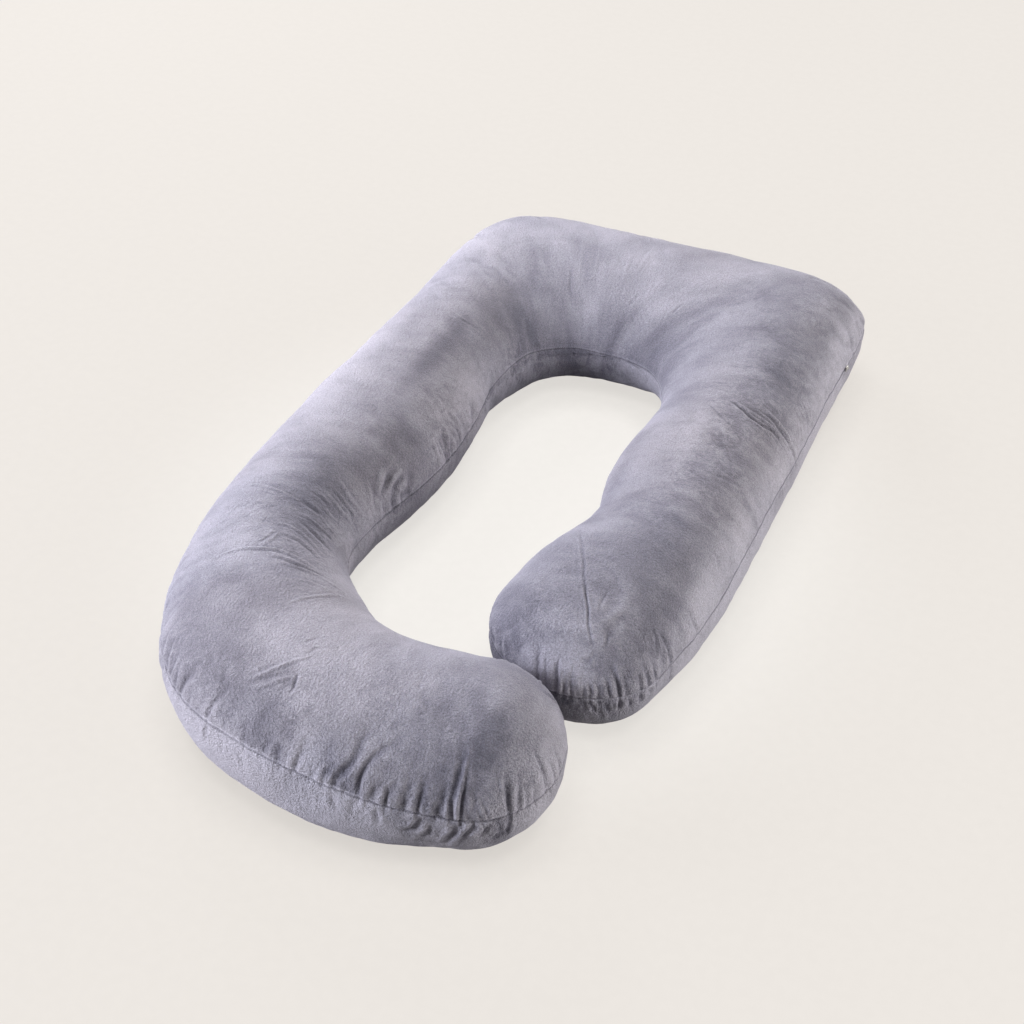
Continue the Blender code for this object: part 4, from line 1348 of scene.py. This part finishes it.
FINER = 0.7  # of the sections' spacing
UP_RINGS, DOWN_RINGS = (0.9, 2.5, UP), (0.9, 4.0, DOWN)
SHARP_PLEATS = (0.55, 0.66)  # share of a pleat's depth and width that its sharp core has
SHARP_CREASES = (0.95, 0.62)
LUMPS = ((0.8, 120, 51), (0.12, 40, 52))  # millimetres, size, seed
CRUMPLES = ((0.35, 26, 53), (0.16, 14, 54))
SHARP_PUCKERS = 0.5
ZIP_SEAM_PAINTED_SHARE = 0.4  # how strongly the seam's painted shade and highlight show along the zip, as a share
ARM_END_SEAM_PAINTED_SHARE = -0.6  # and round the arm's end, where it is drawn tight: a negative share turns them round, so the seam is painted lighter and the edge above it darker
ARM_END = dict(y=-340, half=70, right_of=170)  # where that is on the inner side, in the plan
FOLD_PAINTED_LIGHT = dict(times=24, full=1.2)  # painted light and shade on the folds: what stands out from the smoothed cover by full is painted paler, and what sinks in by full painted darker


def seam_painted_light_at(line):
    """How strongly the seam's painted shade and highlight show at each of its points; a negative
    share turns them round.
    """
    x, y = line["place"].T
    near_end = (np.abs(y - ARM_END["y"]) < ARM_END["half"]) & (x > ARM_END["right_of"])
    painted_share = np.where(line["groove"] > SEAM_DEPTH, ZIP_SEAM_PAINTED_SHARE, 1.0)
    return np.where(inner_side(line["place"]) & near_end, ARM_END_SEAM_PAINTED_SHARE, painted_share)


def pillow(velvet, thread, coil):
    """The cover: the tube with its folds, moved as its filling moves it, its seam and its zip."""
    line = seam_line(FINER)
    cover = Cover(line, ring_distances(*UP_RINGS), ring_distances(*DOWN_RINGS), FLAT_RINGS)
    mesh = cover.mesh("pillow_velvet")
    normals = normals_of(mesh)
    plan, across = cover.points[:, :2] + PLAN_MIDDLE, cover.gather(cover.across)
    crumple = crumpled(plan, across)

    def bumps(rows):
        return sum(size * waves(cover.points, length, seed) for size, length, seed in rows)

    depth = fold_depths(line, cover, PLEATS, *SHARP_PLEATS)
    depth += fold_depths(line, cover, CREASES, *SHARP_CREASES)
    depth += base_depths(cover) - fans(cover, plan, across)
    depth += bumps(LUMPS)
    depth += bumps(CRUMPLES) * crumple
    points = cover.points
    depth += SHARP_PUCKERS * seam_puckers(line, cover)
    points = points + cover.gather(spread(*filled_out(), cover))
    points = points - normals * depth[:, None]
    points[:, 2] = np.maximum(points[:, 2], 0)
    mesh.vertices.foreach_set("co", (points * MM).astype(np.float32).ravel())
    mesh.update()
    # How far each point stands out from the smoothed cover, for the painted light and shade on the
    # folds.
    raised = np.sum((points - cover.points) * normals, axis=1)[cover.index]
    fold_painted_light = cover.gather(raised - smoothed(raised, FOLD_PAINTED_LIGHT["times"]))
    add_values(mesh, "fold_painted_light", np.tanh(fold_painted_light / FOLD_PAINTED_LIGHT["full"]))
    # Patches of nap, partly painted light and painted shade.
    add_values(mesh, "nap_and_painted_light", laid_over(NAP_AND_PAINTED_LIGHT, plan, across))
    add_values(mesh, "crumpled", crumple)
    # How strongly the seam's painted shade and highlight show at each point.
    add_values(mesh, "seam_painted_light", cover.gather(seam_painted_light_at(line)[:, None] + 0 * cover.across))
    thing = place_object("pillow_velvet", mesh, velvet)
    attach(thing, "root")
    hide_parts("pillow")
    sewing(line, cover, points, normals, thread)
    zip_coil(line, cover, points, normals, coil)


AIM = Vector((0, 0, 0.1))
LAMPS = (  # name, place in metres, size in metres, watts, colour
    ("left back", (-2.2, 1.8, 1.8), 1.4, 116, (0.985, 0.98, 1.02)),
    ("left front", (-2.2, -1.9, 1.5), 1.4, 99, (0.94, 0.965, 1.08)),
    ("right", (2.8, 0.0, 1.3), 1.4, 58, (1.01, 0.995, 0.995)),
    ("back", (0.9, 2.7, 1.8), 1.4, 24, (1.03, 1.0, 0.97)),
)
FLOOR_SIDE = 9.0


def floor_finish():
    """Pale paper. The camera sees it evenly lit, a little brighter in the middle, with the soft
    shadow of what stands on it. Everything else sees plain matt paper."""
    material, graph, shader = new_material("pale floor")
    matt = {"Base Color": (0.62, 0.60, 0.57, 1), "Roughness": 0.95, "Specular IOR Level": 0.0}
    graph.fill(shader, matt)
    where = graph.read("TexCoord", "Object")
    out_from_middle = graph.read("VectorMath", "Value", {0: where}, operation="LENGTH")
    middle = graph.between(out_from_middle, 0.25, 0.75, 1.0, 0.0)
    paper = graph.mixed(middle, (0.855, 0.812, 0.765, 1), (0.950, 0.920, 0.880, 1))
    wide = graph.read("AmbientOcclusion", "AO", {"Distance": 0.08}, samples=8)
    near = graph.read("AmbientOcclusion", "AO", {"Distance": 0.03}, samples=8)
    shadow = graph.between(wide, 0.35, 1.0, 0.89, 1.0) * graph.between(near, 0.3, 1.0, 0.90, 1.0)
    paper_grain = graph.between(graph.noise(where, 55.0, 3.0), 0.3, 0.7, 0.994, 1.006)
    glow = graph.read("Emission", 0, {"Color": paper, "Strength": shadow * paper_grain})
    seen = graph.read("LightPath", "Is Camera Ray")
    plain = Value(graph, shader.outputs[0])
    lit = graph.read("MixShader", 0, {0: 0.94, 1: plain, 2: glow})
    final = graph.read("MixShader", 0, {0: seen, 1: plain, 2: lit})
    graph.fill(material.node_tree.nodes["Material Output"], {"Surface": final})
    return material


def studio():
    """A pale floor, soft light from the upper left and the camera."""
    corners = np.array([(-1, -1, 0), (1, -1, 0), (1, 1, 0), (-1, 1, 0)], float) * FLOOR_SIDE
    floor_mesh = mesh_of("floor", corners, [0, 1, 2, 3], np.array([4]))
    place_object("floor", floor_mesh, floor_finish())

    scene = bpy.context.scene
    scene.world = bpy.data.worlds.new("studio")
    scene.world.use_nodes = True
    sky = scene.world.node_tree.nodes["Background"].inputs
    sky["Color"].default_value = (1.0, 0.98, 0.96, 1)
    sky["Strength"].default_value = 0.05

    for name, place, size, watts, colour in LAMPS:
        lamp = bpy.data.lights.new(name, "AREA")
        lamp.shape, lamp.size, lamp.energy, lamp.color = "DISK", size, watts, colour
        light = place_object(name, lamp)
        light.location = place
        light.rotation_euler = (AIM - light.location).to_track_quat("-Z", "Y").to_euler()

    lens = bpy.data.cameras.new("camera")
    lens.sensor_width, lens.lens, lens.shift_y = 36, 61.1, 18 / 1024
    camera = place_object("camera", lens)
    camera.location = (0.8869, -1.9702, 1.8744)
    camera.rotation_euler = np.radians((49.0, 0.0, 24.5))
    scene.camera = camera
    scene.view_settings.view_transform = "Standard"


spun = spun_thread_group()
velvet = velvet_finish(brushed_pile_group())
thread = spun_finish("violet grey thread", spun, (0.36, 0.35, 0.42, 1), (0.55, 0.53, 0.61, 1), 0.6)
nickel = nickel_finish()
coil = spun_finish("grey zip coil", spun, (0.30, 0.29, 0.34, 1), (0.42, 0.41, 0.47, 1), 0.42)
pillow(velvet, thread, coil)
for node in ("zip_slider", "zip_pull"):
    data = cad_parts[node].data
    data.materials.clear()
    data.materials.append(nickel)
studio()
